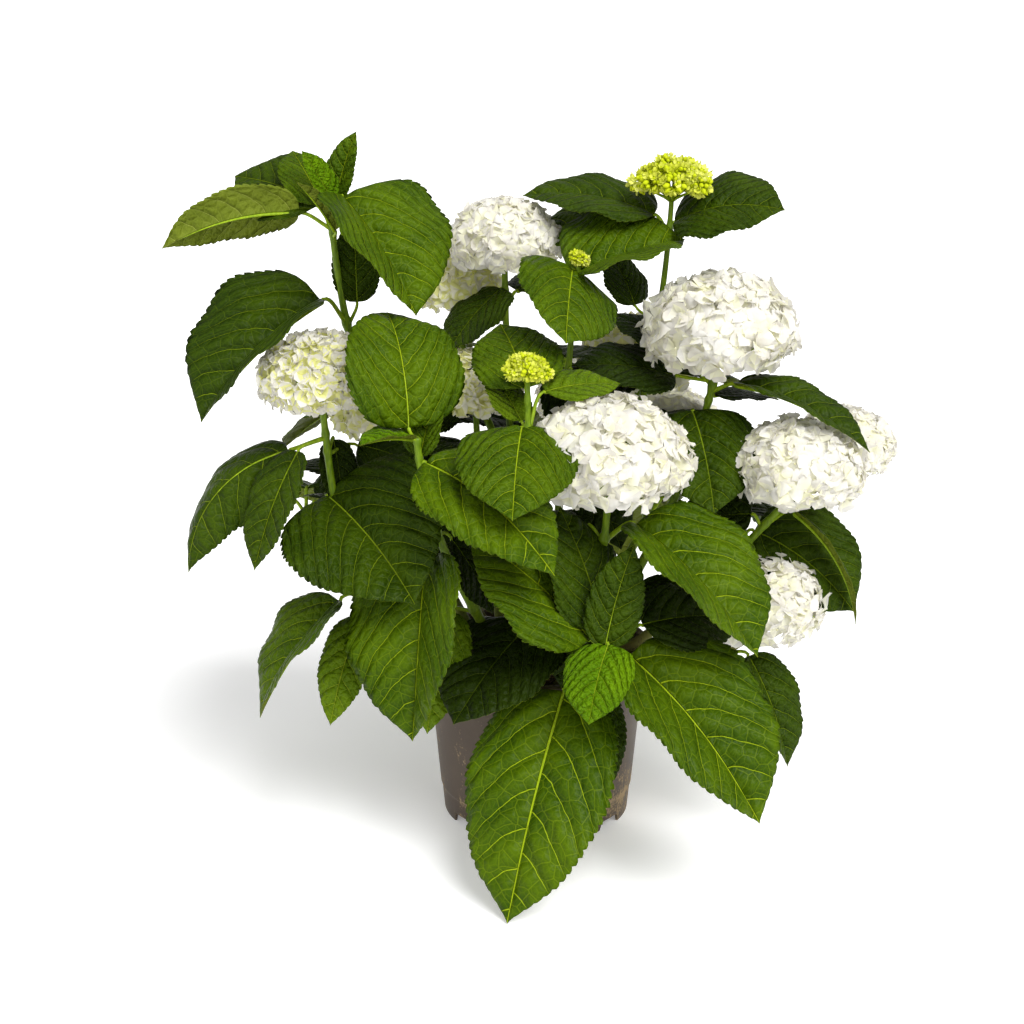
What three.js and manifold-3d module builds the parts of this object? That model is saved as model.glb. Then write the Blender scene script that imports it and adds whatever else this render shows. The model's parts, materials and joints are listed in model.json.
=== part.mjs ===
// White mophead hydrangea in its nursery pot.
// Millimetres, +Z up, origin at the middle of the pot's underside, the plant's best side towards -Y.
import * as THREE from 'three';
import { mergeVertices } from 'three/addons/utils/BufferGeometryUtils.js';
import Module from 'manifold-3d';

const wasm = await Module();
wasm.setup();

// ---- driving dimensions -------------------------------------------------------------------------
const GAP = 0.3; // clearance between neighbouring pieces

const POT_HEIGHT = 147;
const POT_FOOT_RADIUS = 80;
const POT_MOUTH_RADIUS = 93;
const POT_WALL = 1.6;
const POT_LIP_WIDTH = 4;
const POT_LIP_HEIGHT = 7;
const POT_STEP_HEIGHT = 23; // the moulded line low on the wall
const POT_STEP_DEPTH = 0.9;
const POT_FLOOR = 2;
const POT_PAD_RADIUS = 42; // the middle of the floor stands on the ground
const POT_RAISED_FLOOR = 15;
const POT_FLOOR_SLOPE = 0.55; // outward run of the step up to the raised floor, as a share of its rise
const POT_SIDES = 24;
const FOOT_COUNT = 7;
const NOTCH_HEIGHT = 8;
const NOTCH_WIDTH_LOW = 27;
const NOTCH_WIDTH_HIGH = 20;
const NOTCH_DEPTH = 24; // each notch is cut this far along the radius,
const NOTCH_OVERSHOOT = 8; // of which this much lies outside the wall

const COMPOST_TOP = 132;
const COMPOST_MOUND = 4;
const COMPOST_SHOULDER = { out: 0.55, up: 0.7 }; // a point on the mound, as shares of its radius and rise

const STOOL_RADIUS = 17; // the short woody stem that the shoots spring from
const STOOL_HEIGHT = 26;
const STOOL_SIDES = 12;
const STOOL_OUTLINE = [[1, 0], [0.92, 0.5], [0.6, 1]]; // shares of its radius and height
const STOOL_CROWN = 2; // its middle stands this much above its edge

const SHOOT_SIDES = 5;
const SHOOT_STEPS = 5;
const CORE_STEPS = 3;
const SHOOT_FOOT_RADIUS = 4.8;
const SHOOT_TIP_RADIUS = 2.6;
const CORE_WALL = 1; // the stem is a little stouter where leaf stalks clasp it
const SIDE_SHOOT_RADIUS = 3.6;
const SHOOT_LEAN = 0.45; // how far out the low part of a shoot bows, as a share of its spread
const SHOOT_SLACK = 0.08; // how far in its high part bows
const SHOOT_LOW = 0.3; // where those parts are, as shares of its rise from the foot and from the tip
const SHOOT_HIGH = 0.42;
const SEARCH_PASSES = 24; // halvings that find a height on a shoot
const STOOL_SINK = 6;
const BELOW_NODE = 12; // a shoot ends this far under its lowest leaves, where their mass takes over

const LEAF_SHAPE = { wide: 0.72, bend: 25, roll: 0, fold: 12, stalk: 0.2, lift: 35 };
const LEAF_THICKNESS = 0.08; // of its length
const STALK_RADIUS = 3.4;
const BLADE_SKEW = 0.8; // below 1 a blade is broadest towards its stalk
const BLADE_FULLNESS = 0.62; // below 1 its outline is fuller
const BLADE_TIP = 0.5; // added towards the tip, which draws it out
const MIDRIB_PIECES = 12;
const STALK_CLASP = 7; // a leaf stalk is rooted this far below its node
const LEAF_RINGS = [
  { along: 0, blade: false },
  { along: 0.03, blade: true },
  { along: 0.3, blade: true },
  { along: 0.66, blade: true },
  { along: 1, blade: true },
];

const BLOOM_SIDES = 9;
const BLOOM_LOBES = 5;
const BLOOM_UNEVEN = 0.06;
const BLOOM_PHASE = 0.05; // turns the lobes of each head by its place
// Outlines of the heads as shares of their radius: out and up, from the foot of the axis.
const BLOOM_OUTLINE = [
  [0, -0.3], [0.34, -0.34], [0.72, -0.5], [0.96, -0.28], [1, 0.04], [0.82, 0.46], [0.46, 0.72], [0, 0.82],
];
const BUD_OUTLINE = [[0, -0.62], [0.5, -0.36], [1, 0], [0.82, 0.42], [0.4, 0.62], [0, 0.68]];
const BUD_SIDES = 8;
const BLOOM_SEAT = 0.28; // a stem ends this share of the radius below the middle of its head
const BUD_SEAT = 0.55;

// ---- the plan of the plant ----------------------------------------------------------------------
// Shoots: where each leaves the compost (x, y) or its parent shoot (height), and where a leafy one ends.
// A shoot with a flower head or buds ends under that.
// lean moves the low part of the bow outwards, slack the high part inwards.
const SHOOTS = {
  tall_left: { foot: [-45, 8], tip: [-164, 2, 507] },
  left: { foot: [-44, -16], lean: 1 },
  left_back: { parent: 'left', from: 197 },
  front_left: { foot: [-24, -36], tip: [-93, -115, 360], lean: 0.3 },
  front: { foot: [0, -44] },
  front_low: { foot: [18, -56], tip: [50, -148, 210] },
  front_right: { foot: [28, -28] },
  right_tall: { foot: [38, 0], slack: 0.16 },
  right_inner: { parent: 'right_tall', from: 232 },
  right: { foot: [52, -14], slack: 0.35 },
  right_back: { parent: 'right', from: 207 },
  right_low: { foot: [56, -34], lean: 0.75 },
  top: { foot: [-8, 12] },
  top_back: { parent: 'top', from: 282 },
  middle: { foot: [-24, -8] },
  small: { foot: [8, -10], slack: 0.6 },
  top_right: { foot: [22, 22] },
  back_left: { foot: [-36, 40] },
  back: { foot: [-4, 48] },
  back_right: { foot: [34, 40] },
  side_left: { foot: [-60, 24], tip: [-200, 70, 244] },
};

// Flower heads: middle and radius of each dome.
const BLOOMS = {
  left: { at: [-169, -60, 393], radius: 48 },
  left_back: { at: [-137, 0, 344], radius: 32 },
  top: { at: [-25, 60, 477], radius: 50 },
  top_back: { at: [-69, 100, 434], radius: 40 },
  middle: { at: [-50, 20, 366], radius: 40 },
  right_inner: { at: [88, 80, 374], radius: 52 },
  front_right: { at: [53, -100, 339], radius: 66 },
  right_tall: { at: [145, 0, 414], radius: 68 },
  right: { at: [212, -40, 312], radius: 57 },
  right_back: { at: [262, 60, 300], radius: 48 },
  right_low: { at: [184, -40, 198], radius: 53 },
  back_left: { at: [-118, 130, 334], radius: 54 },
  back: { at: [56, 175, 314], radius: 58 },
  back_right: { at: [120, 142, 294], radius: 50 },
};

// Heads still in bud.
const BUDS = {
  small: { at: [32, -10, 477], radius: 9 },
  top_right: { at: [108, 35, 534], radius: 33 },
  front: { at: [-9, -115, 414], radius: 17 },
};

// Leaves by shoot. at: height of the node; to: compass bearing of the blade; rise: slope of its chord;
// long, wide: length and width as a share of it; bend, fold, roll: how it droops, closes and turns;
// stalk, lift, turn: length, slope and bearing of the leaf stalk.
const LEAVES = {
  tall_left: [
    {
      at: 426, to: -156, rise: -41, long: 136, wide: 0.9, bend: 28, roll: -11, fold: 43,
      stalk: 0.23, lift: 39, turn: -138,
    },
    {
      at: 502, to: -43, rise: -46, long: 116, wide: 1.04, bend: 30, roll: -2, fold: 38,
      stalk: 0.25, lift: 60, turn: -45,
    },
    {
      at: 502, to: -169, rise: -13, long: 112, wide: 0.46, bend: 34, roll: 65, fold: 25,
      stalk: 0.25, lift: 24, turn: -175,
    },
    { at: 496, to: 143, rise: 9, long: 92, wide: 0.85, roll: -30, stalk: 0.28, lift: 62, turn: 165 },
    {
      at: 507, to: 17, rise: 72, long: 60, wide: 0.46, bend: 15, roll: 45, fold: 30,
      stalk: 0.22, lift: 72, turn: -31,
    },
    {
      at: 507, to: 168, rise: 59, long: 48, wide: 0.5, bend: 20, roll: -35, fold: 30,
      stalk: 0.33, lift: 61, turn: -73,
    },
  ],
  left: [
    {
      at: 348, to: -129, rise: -59, long: 100, wide: 0.48, bend: 28, fold: 20,
      stalk: 0.26, lift: -25, turn: -157,
    },
    {
      at: 348, to: -172, rise: -50, long: 130, wide: 0.52, bend: 80, roll: -42, fold: -22,
      stalk: 0.26, lift: -25, turn: 172,
    },
    {
      at: 286, to: -52, rise: -26, long: 132, wide: 1, bend: 22, roll: 33, fold: 24,
      stalk: 0.1, lift: 60, turn: -170,
    },
    {
      at: 198, to: -152, rise: -51, long: 112, wide: 0.8, bend: 35, roll: 5, fold: 28,
      stalk: 0.53, lift: 21, turn: -128,
    },
    { at: 198, to: -128, rise: -64, long: 90, wide: 0.48, roll: -10, stalk: 0.42, lift: 4, turn: -118 },
  ],
  front_left: [
    {
      at: 358, to: 106, rise: 46, long: 104, wide: 0.88, bend: 90, fold: 18,
      stalk: 0.12, lift: 60, turn: -170,
    },
    {
      at: 344, to: -36, rise: -29, long: 138, wide: 0.64, bend: 36, roll: 22,
      stalk: 0.04, lift: -27, turn: -16,
    },
    {
      at: 240, to: -97, rise: -60, long: 142, wide: 0.86, bend: 30, roll: 34, fold: 34,
      stalk: 0.22, lift: 30, turn: -150,
    },
    { at: 204, to: -118, rise: -66, long: 100, wide: 0.5, lift: 0, turn: -160 },
  ],
  front: [
    {
      at: 368, to: -95, rise: -31, long: 95, wide: 0.98, bend: 35, fold: 10,
      stalk: 0.05, lift: 12, turn: -173,
    },
    {
      at: 390, to: 104, rise: 21, long: 88, wide: 0.8, bend: 15, roll: -10,
      stalk: 0.15, lift: 34, turn: 98,
    },
    {
      at: 366, to: 32, rise: -3, long: 70, wide: 0.6, bend: 20, roll: 20, fold: 15,
      stalk: 0.49, lift: 50, turn: 52,
    },
    { at: 194, to: -130, rise: -31, long: 112, wide: 0.95, bend: 30, stalk: 0.03, lift: 0 },
  ],
  front_low: [
    { at: 206, to: 160, rise: 36, long: 126, wide: 0.9, bend: 24, roll: -15, stalk: 0.08, lift: 10 },
    {
      at: 204, to: 36, rise: 71, long: 82, wide: 0.52, bend: 12, roll: 45,
      stalk: 0.12, lift: 10, turn: -83,
    },
    { at: 204, to: -113, rise: -52, long: 64, wide: 0.88, bend: 35, fold: 15, lift: 21, turn: -75 },
    { at: 150, to: -116, rise: -56, long: 186, wide: 0.64, bend: 30, stalk: 0.19, lift: 9, turn: -105 },
    { at: 152, to: -84, rise: -68, long: 92, wide: 0.6, bend: 30, stalk: 0.15, lift: -20, turn: -30 },
    {
      at: 178, to: -38, rise: -41, long: 164, wide: 0.74, bend: 32, roll: 10, fold: 35,
      stalk: 0.18, lift: 18, turn: 5,
    },
  ],
  front_right: [
    {
      at: 274, to: -38, rise: -36, long: 143, wide: 0.8, bend: 34, roll: 4, fold: 35,
      stalk: 0.19, lift: 20, turn: 15,
    },
    { at: 272, to: 150, rise: -10, long: 90 },
  ],
  right_tall: [
    {
      at: 370, to: -31, rise: -19, long: 124, wide: 0.42, bend: 38, fold: 30,
      stalk: 0.17, lift: 15, turn: -20,
    },
    {
      at: 342, to: -80, rise: -42, long: 98, wide: 0.95, bend: 34, roll: 5, fold: 15,
      stalk: 0.15, lift: 45, turn: -150,
    },
  ],
  right: [
    {
      at: 244, to: -21, rise: -35, long: 105, wide: 0.95, bend: 35, roll: 40, fold: 15,
      stalk: 0.26, lift: 16, turn: 63,
    },
    {
      at: 266, to: -32, rise: -56, long: 104, wide: 0.24, bend: 60, roll: -25, fold: 25,
      stalk: 0.3, lift: 8, turn: 31,
    },
    { at: 244, to: 140, rise: -15, long: 90 },
  ],
  right_back: [
    { at: 244, to: 20, rise: -45, long: 80, bend: 40 },
    { at: 244, to: 160, rise: 0, long: 80 },
  ],
  right_low: [
    {
      at: 156, to: -44, rise: -63, long: 97, wide: 0.56, bend: 32, fold: 32,
      stalk: 0.23, lift: -9, turn: -2,
    },
    { at: 156, to: 110, rise: -20, long: 80, bend: 35 },
  ],
  top: [
    { at: 438, to: -144, rise: -41, long: 69, wide: 0.95, bend: 28, stalk: 0.08 },
    { at: 362, to: 170, rise: -10, long: 100 },
    { at: 362, to: -10, rise: -10, long: 90 },
  ],
  top_back: [
    { at: 372, to: 120, rise: -30, long: 100, bend: 35 },
  ],
  small: [
    {
      at: 464, to: -95, rise: -27, long: 92, wide: 0.98, bend: 30, roll: -32, fold: 10,
      stalk: 0.08, lift: 60, turn: -168,
    },
    {
      at: 457, to: 18, rise: 14, long: 98, wide: 1.2, bend: 20, roll: 10, fold: 34,
      stalk: 0.08, lift: 60, turn: 120,
    },
    { at: 382, to: 100, rise: -10, long: 100 },
  ],
  top_right: [
    {
      at: 492, to: 169, rise: 6, long: 110, bend: 35, roll: -14, fold: 15,
      stalk: 0.17, lift: 46, turn: 156,
    },
    {
      at: 496, to: -20, rise: 9, long: 92, wide: 0.95, bend: 45, roll: 28, fold: 15,
      stalk: 0.06, lift: 49, turn: 1,
    },
    { at: 362, to: 40, rise: -20, long: 110, bend: 40 },
  ],
  back_left: [
    { at: 312, to: 150, rise: -30, long: 130, bend: 40 },
    { at: 312, to: -20, rise: -10, long: 110 },
    { at: 242, to: 110, rise: -40, long: 140, bend: 40 },
    { at: 242, to: 180, rise: -35, long: 110, bend: 40 },
  ],
  back: [
    { at: 317, to: 110, rise: -35, long: 120, bend: 40 },
    { at: 317, to: -60, rise: -10, long: 110 },
    { at: 252, to: 70, rise: -40, long: 130, bend: 40 },
    { at: 252, to: 130, rise: -45, long: 130, bend: 40 },
  ],
  back_right: [
    { at: 282, to: 60, rise: -35, long: 126, bend: 38 },
    { at: 282, to: -15, rise: -50, long: 120, bend: 40 },
    { at: 222, to: 30, rise: -50, long: 130, bend: 40 },
    { at: 222, to: 100, rise: -45, long: 130, bend: 40 },
  ],
  side_left: [
    { at: 240, to: 150, rise: -30, long: 90, bend: 40 },
    { at: 244, to: 90, rise: -25, long: 120, bend: 40 },
    { at: 197, to: 60, rise: -45, long: 100, bend: 35 },
  ],
};

// Each piece of the list gets its own solid; shoots missing here carry only a few hidden leaves.
const LEAFY = [
  'front_low', 'front', 'front_left', 'left', 'tall_left', 'front_right', 'right_tall', 'right', 'right_low',
  'right_back', 'top_right', 'small', 'top', 'side_left', 'back_left', 'back', 'back_right', 'top_back',
];

const FINISH = {
  pot: { color: 0x6d625b, roughness: 0.6 },
  compost: { color: 0x3a2a1e, roughness: 0.95 },
  stem: { color: 0x6f8f3a, roughness: 0.6 },
  wood: { color: 0x7a6a4c, roughness: 0.85 },
  leaf: { color: 0x3a6a20, roughness: 0.5 },
  bloom: { color: 0xf4f1e4, roughness: 0.7 },
  bud: { color: 0xb9cf3e, roughness: 0.6 },
};

// ---- helpers ------------------------------------------------------------------------------------
const rad = THREE.MathUtils.degToRad;
const vec = (p) => new THREE.Vector3(p[0], p[1], p[2]);

function bearing(headingDeg, slopeDeg) {
  const flat = Math.cos(rad(slopeDeg));
  const heading = rad(headingDeg);
  return new THREE.Vector3(Math.cos(heading) * flat, Math.sin(heading) * flat, Math.sin(rad(slopeDeg)));
}

function solidOf(geometry) {
  const bare = geometry.clone();
  bare.deleteAttribute('normal');
  bare.deleteAttribute('uv');
  const merged = mergeVertices(bare, 1e-4);
  const mesh = new wasm.Mesh({
    numProp: 3,
    vertProperties: new Float32Array(merged.attributes.position.array),
    triVerts: new Uint32Array(merged.index.array),
  });
  return new wasm.Manifold(mesh);
}

function geometryOf(solid) {
  const mesh = solid.getMesh();
  const geometry = new THREE.BufferGeometry();
  geometry.setAttribute('position', new THREE.BufferAttribute(Float32Array.from(mesh.vertProperties), 3));
  geometry.setIndex(new THREE.BufferAttribute(Uint32Array.from(mesh.triVerts), 1));
  geometry.computeVertexNormals();
  return geometry;
}

function largestPart(solid) {
  const parts = solid.decompose();
  return parts.reduce((best, part) => (part.volume() > best.volume() ? part : best));
}

function boxesMeet(a, b) {
  const p = a.boundingBox();
  const q = b.boundingBox();
  return [0, 1, 2].every((k) => p.min[k] <= q.max[k] && q.min[k] <= p.max[k]);
}

function cutBy(solid, cutters) {
  const near = cutters.filter((cutter) => boxesMeet(solid, cutter));
  return near.reduce((left, cutter) => left.subtract(cutter), solid);
}

function moveVertices(geometry, place) {
  const position = geometry.attributes.position;
  const point = new THREE.Vector3();
  for (let i = 0; i < position.count; i += 1) {
    point.fromBufferAttribute(position, i);
    place(point);
    position.setXYZ(i, point.x, point.y, point.z);
  }
  return geometry;
}

// A lathe whose axis is Z: profile points are [radius, height], outwards from the foot of the axis.
function turned(profile, sides) {
  const points = profile.map(([radius, height]) => new THREE.Vector2(radius, height));
  return new THREE.LatheGeometry(points, sides).rotateX(Math.PI / 2);
}

// ---- pot and compost ----------------------------------------------------------------------------
function wallRadius(height) {
  return POT_FOOT_RADIUS + ((POT_MOUTH_RADIUS - POT_FOOT_RADIUS) * height) / POT_HEIGHT;
}

function innerProfile(clear) {
  const inside = (height) => wallRadius(height) - POT_WALL - POT_STEP_DEPTH - clear;
  const slope = POT_RAISED_FLOOR * POT_FLOOR_SLOPE;
  return [
    [0, POT_FLOOR + clear],
    [POT_PAD_RADIUS - clear, POT_FLOOR + clear],
    [POT_PAD_RADIUS + slope - clear, POT_RAISED_FLOOR + POT_FLOOR + clear],
    [inside(POT_RAISED_FLOOR + POT_FLOOR), POT_RAISED_FLOOR + POT_FLOOR + clear],
  ];
}

function potSolid(grow) {
  const inner = innerProfile(0);
  const insideTop = wallRadius(POT_HEIGHT) - POT_WALL - POT_STEP_DEPTH - grow;
  const lipTop = wallRadius(POT_HEIGHT) + POT_LIP_WIDTH + grow;
  const lipFoot = POT_HEIGHT - POT_LIP_HEIGHT - grow;
  const slope = POT_RAISED_FLOOR * POT_FLOOR_SLOPE;
  const shell = solidOf(turned([
    [0, 0],
    [POT_PAD_RADIUS, 0],
    [POT_PAD_RADIUS + slope, POT_RAISED_FLOOR],
    [wallRadius(0) - 2 * POT_WALL, POT_RAISED_FLOOR],
    [wallRadius(0) - POT_STEP_DEPTH - 2 * POT_WALL, 0],
    [wallRadius(0) - POT_STEP_DEPTH + grow, 0],
    [wallRadius(POT_STEP_HEIGHT) - POT_STEP_DEPTH + grow, POT_STEP_HEIGHT],
    [wallRadius(POT_STEP_HEIGHT + 2) + grow, POT_STEP_HEIGHT + 2],
    [wallRadius(lipFoot) + grow, lipFoot],
    [lipTop - 1, lipFoot],
    [lipTop, POT_HEIGHT + grow],
    [insideTop, POT_HEIGHT + grow],
    ...inner.reverse(),
  ], POT_SIDES));
  return cutBy(shell, footNotches());
}

function footNotches() {
  const outline = new THREE.Shape([
    new THREE.Vector2(-NOTCH_WIDTH_LOW / 2, -1),
    new THREE.Vector2(NOTCH_WIDTH_LOW / 2, -1),
    new THREE.Vector2(NOTCH_WIDTH_HIGH / 2, NOTCH_HEIGHT),
    new THREE.Vector2(-NOTCH_WIDTH_HIGH / 2, NOTCH_HEIGHT),
  ]);
  const depth = NOTCH_DEPTH;
  return Array.from({ length: FOOT_COUNT }, (_, k) => {
    const geometry = new THREE.ExtrudeGeometry(outline, { depth, bevelEnabled: false });
    geometry.rotateX(Math.PI / 2).translate(0, -POT_FOOT_RADIUS + depth - NOTCH_OVERSHOOT, 0);
    geometry.rotateZ((k * 2 * Math.PI) / FOOT_COUNT);
    return solidOf(geometry);
  });
}

function compostSolid(grow) {
  const rimRadius = wallRadius(COMPOST_TOP) - POT_WALL - POT_STEP_DEPTH - GAP;
  return solidOf(turned([
    ...innerProfile(GAP),
    [rimRadius, COMPOST_TOP + grow],
    [rimRadius * COMPOST_SHOULDER.out, COMPOST_TOP + COMPOST_MOUND * COMPOST_SHOULDER.up + grow],
    [0, COMPOST_TOP + COMPOST_MOUND + grow],
  ], POT_SIDES));
}

// ---- shoots -------------------------------------------------------------------------------------
const shootPaths = new Map();

function shootTip(name) {
  const head = BLOOMS[name] ?? BUDS[name];
  if (!head) {
    return vec(SHOOTS[name].tip);
  }
  const depth = head.radius * (BLOOMS[name] ? BLOOM_SEAT : BUD_SEAT);
  return vec(head.at).add(new THREE.Vector3(0, 0, -depth));
}

function shootPath(name) {
  if (!shootPaths.has(name)) {
    const { foot, parent, from, lean = SHOOT_LEAN, slack = SHOOT_SLACK } = SHOOTS[name];
    const start = parent ? pointAt(parent, from) : new THREE.Vector3(foot[0], foot[1], COMPOST_TOP);
    const end = shootTip(name);
    const across = new THREE.Vector3(end.x - start.x, end.y - start.y, 0);
    const rise = new THREE.Vector3(0, 0, end.z - start.z);
    const low = start.clone().addScaledVector(across, lean).addScaledVector(rise, SHOOT_LOW);
    const high = end.clone().addScaledVector(across, -slack).addScaledVector(rise, -SHOOT_HIGH);
    shootPaths.set(name, new THREE.CubicBezierCurve3(start, low, high, end));
  }
  return shootPaths.get(name);
}

function shareAt(name, height) {
  const curve = shootPath(name);
  let low = 0;
  let high = 1;
  for (let pass = 0; pass < SEARCH_PASSES; pass += 1) {
    const middle = (low + high) / 2;
    if (curve.getPoint(middle).z < height) {
      low = middle;
    } else {
      high = middle;
    }
  }
  return (low + high) / 2;
}

function pointAt(name, height) {
  return shootPath(name).getPoint(shareAt(name, height));
}

function shootRadius(name, share) {
  const foot = SHOOTS[name].parent ? SIDE_SHOOT_RADIUS : SHOOT_FOOT_RADIUS;
  return THREE.MathUtils.lerp(foot, SHOOT_TIP_RADIUS, share);
}

// A round bar bent along a shoot between two shares of its length; extra is added to its radius.
function barAlong(name, first, last, extra, steps) {
  const curve = shootPath(name);
  const side = new THREE.Vector3(0, 1, 0);
  const bar = new THREE.CylinderGeometry(1, 1, 1, SHOOT_SIDES, steps);
  return solidOf(moveVertices(bar, (point) => {
    const share = THREE.MathUtils.lerp(first, last, point.y + 0.5);
    const along = curve.getTangent(share);
    const across = new THREE.Vector3().crossVectors(side, along).normalize();
    const other = new THREE.Vector3().crossVectors(along, across);
    const radius = shootRadius(name, share) + extra;
    const middle = curve.getPoint(share);
    const { x, z } = point;
    point.copy(middle).addScaledVector(across, x * radius).addScaledVector(other, -z * radius);
  }));
}

// The share of a shoot where its foliage mass begins, or 1 for a shoot that is bare up to its flower.
function massStart(name) {
  if (!LEAVES[name]) {
    return 1;
  }
  const lowest = Math.min(...LEAVES[name].map((leaf) => leaf.at));
  return shareAt(name, lowest - BELOW_NODE);
}

function shootSolid(name, grow) {
  return barAlong(name, 0, massStart(name), grow, SHOOT_STEPS);
}

function stoolSolid() {
  const foot = COMPOST_TOP + COMPOST_MOUND - STOOL_SINK;
  const stump = turned([
    [0, foot],
    ...STOOL_OUTLINE.map(([out, up]) => [out * STOOL_RADIUS, foot + up * STOOL_HEIGHT]),
    [0, foot + STOOL_HEIGHT + STOOL_CROWN],
  ], STOOL_SIDES);
  return solidOf(stump);
}

// ---- leaves -------------------------------------------------------------------------------------
function bladeHalfWidth(along, width) {
  return (width / 2) * Math.sin(Math.PI * along ** BLADE_SKEW) ** (BLADE_FULLNESS + BLADE_TIP * along);
}

// One leaf as a thin pad, pointed at its node and at its tip, thickest along the midrib.
function leafPad(name, leaf, grow) {
  const { at, to, rise, long, wide, bend, roll, fold, stalk, lift, turn = to } = { ...LEAF_SHAPE, ...leaf };
  const root = pointAt(name, at - STALK_CLASP);
  const base = pointAt(name, at).addScaledVector(bearing(turn, lift), stalk * long);
  const arc = long * (1 + rad(bend) ** 2 / 24);
  const midrib = (along) => {
    const point = base.clone();
    for (let k = 0; k < MIDRIB_PIECES; k += 1) {
      const slope = rise + bend / 2 - (bend * along * (k + 0.5)) / MIDRIB_PIECES;
      point.addScaledVector(bearing(to, slope), (arc * along) / MIDRIB_PIECES);
    }
    return point;
  };
  const side = new THREE.Vector3(-Math.sin(rad(to)), Math.cos(rad(to)), 0);
  const pad = new THREE.SphereGeometry(1, 4, LEAF_RINGS.length - 1);
  return solidOf(moveVertices(pad, (point) => {
    const polar = Math.acos(THREE.MathUtils.clamp(point.y, -1, 1)) / Math.PI;
    const ring = Math.round(polar * (LEAF_RINGS.length - 1));
    const { along, blade } = LEAF_RINGS[ring];
    const round = Math.hypot(point.x, point.z);
    const across = round > 1e-6 ? point.x / round : 0;
    const upward = round > 1e-6 ? point.z / round : 0;
    const slope = rise + bend / 2 - (blade ? bend * along : 0);
    const course = bearing(to, slope);
    const upright = new THREE.Vector3().crossVectors(course, side).applyAxisAngle(course, rad(roll));
    const level = side.clone().applyAxisAngle(course, rad(roll));
    const inner = ring > 0 && ring < LEAF_RINGS.length - 1;
    const plump = 0.5 * LEAF_THICKNESS * long * Math.sin(Math.PI * along ** BLADE_SKEW);
    const thick = Math.max(STALK_RADIUS, plump);
    const halfWidth = blade ? Math.max(STALK_RADIUS, bladeHalfWidth(along, wide * long)) : STALK_RADIUS;
    const sideways = inner ? halfWidth + grow : grow;
    const lifted = blade ? rad(fold) : 0;
    const middle = blade ? midrib(along) : root;
    const up = Math.abs(across) * sideways * Math.sin(lifted) + upward * (inner ? thick + grow : grow);
    const out = across * sideways * Math.cos(lifted);
    point.copy(middle).addScaledVector(level, out).addScaledVector(upright, up);
  }));
}

// All the leaves of one shoot with the stretch of stem that carries them, up to its flower or tip.
function leafMass(name, grow) {
  const core = barAlong(name, massStart(name), 1, grow + CORE_WALL, CORE_STEPS);
  const pads = LEAVES[name].map((leaf) => leafPad(name, leaf, grow));
  return wasm.Manifold.union([core, ...pads]);
}

// ---- flower heads -------------------------------------------------------------------------------
// A flattened dome, hollow beneath where the flower stalks spread from the stem.
function bloomSolid(name, grow) {
  const { at, radius } = BLOOMS[name];
  const full = radius + grow;
  const profile = BLOOM_OUTLINE.map(([out, up]) => [out * full, up * full]);
  const phase = at[0] * BLOOM_PHASE;
  const dome = moveVertices(turned(profile, BLOOM_SIDES), (point) => {
    const angle = Math.atan2(point.y, point.x);
    const outward = Math.min(1, Math.hypot(point.x, point.y) / full);
    const swell = 1 + BLOOM_UNEVEN * Math.sin(BLOOM_LOBES * angle + phase) * outward;
    point.set(point.x * swell + at[0], point.y * swell + at[1], point.z + at[2]);
  });
  return solidOf(dome);
}

function budSolid(name, grow) {
  const { at, radius } = BUDS[name];
  const full = radius + grow;
  const profile = BUD_OUTLINE.map(([out, up]) => [out * full, up * full]);
  return solidOf(turned(profile, BUD_SIDES).translate(at[0], at[1], at[2]));
}

// ---- assembly -----------------------------------------------------------------------------------
// Pieces are made in order of rank: each is cut clear of those before it, and its largest part kept.
const plant = new THREE.Group();
const clearances = [];

function addPiece(name, finish, build) {
  const solid = largestPart(cutBy(build(0), clearances));
  clearances.push(build(GAP));
  const material = new THREE.MeshStandardMaterial({ ...FINISH[finish], metalness: 0 });
  const mesh = new THREE.Mesh(geometryOf(solid), material);
  mesh.name = name;
  plant.add(mesh);
}

addPiece('pot', 'pot', potSolid);
addPiece('compost', 'compost', compostSolid);
Object.keys(SHOOTS).forEach((name) => addPiece(`stem_${name}`, 'stem', (grow) => shootSolid(name, grow)));
addPiece('stool', 'wood', stoolSolid);
Object.keys(BUDS).forEach((name) => addPiece(`buds_${name}`, 'bud', (grow) => budSolid(name, grow)));
Object.keys(BLOOMS).forEach((name) => addPiece(`bloom_${name}`, 'bloom', (grow) => bloomSolid(name, grow)));
LEAFY.forEach((name) => addPiece(`leaves_${name}`, 'leaf', (grow) => leafMass(name, grow)));

export default plant;
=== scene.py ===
"""White mophead hydrangea in its nursery pot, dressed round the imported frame.

The plan of the plant is in millimetres and everything made from it is in metres. Each stem of the frame is
replaced by a limb with its leaf stalks and flower stalks, each foliage mass by separate leaves, and each
flower head or bud head by its florets or buds.
"""
from __future__ import annotations

import json
import logging
import math
from dataclasses import dataclass, field, replace
from enum import Enum

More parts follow.
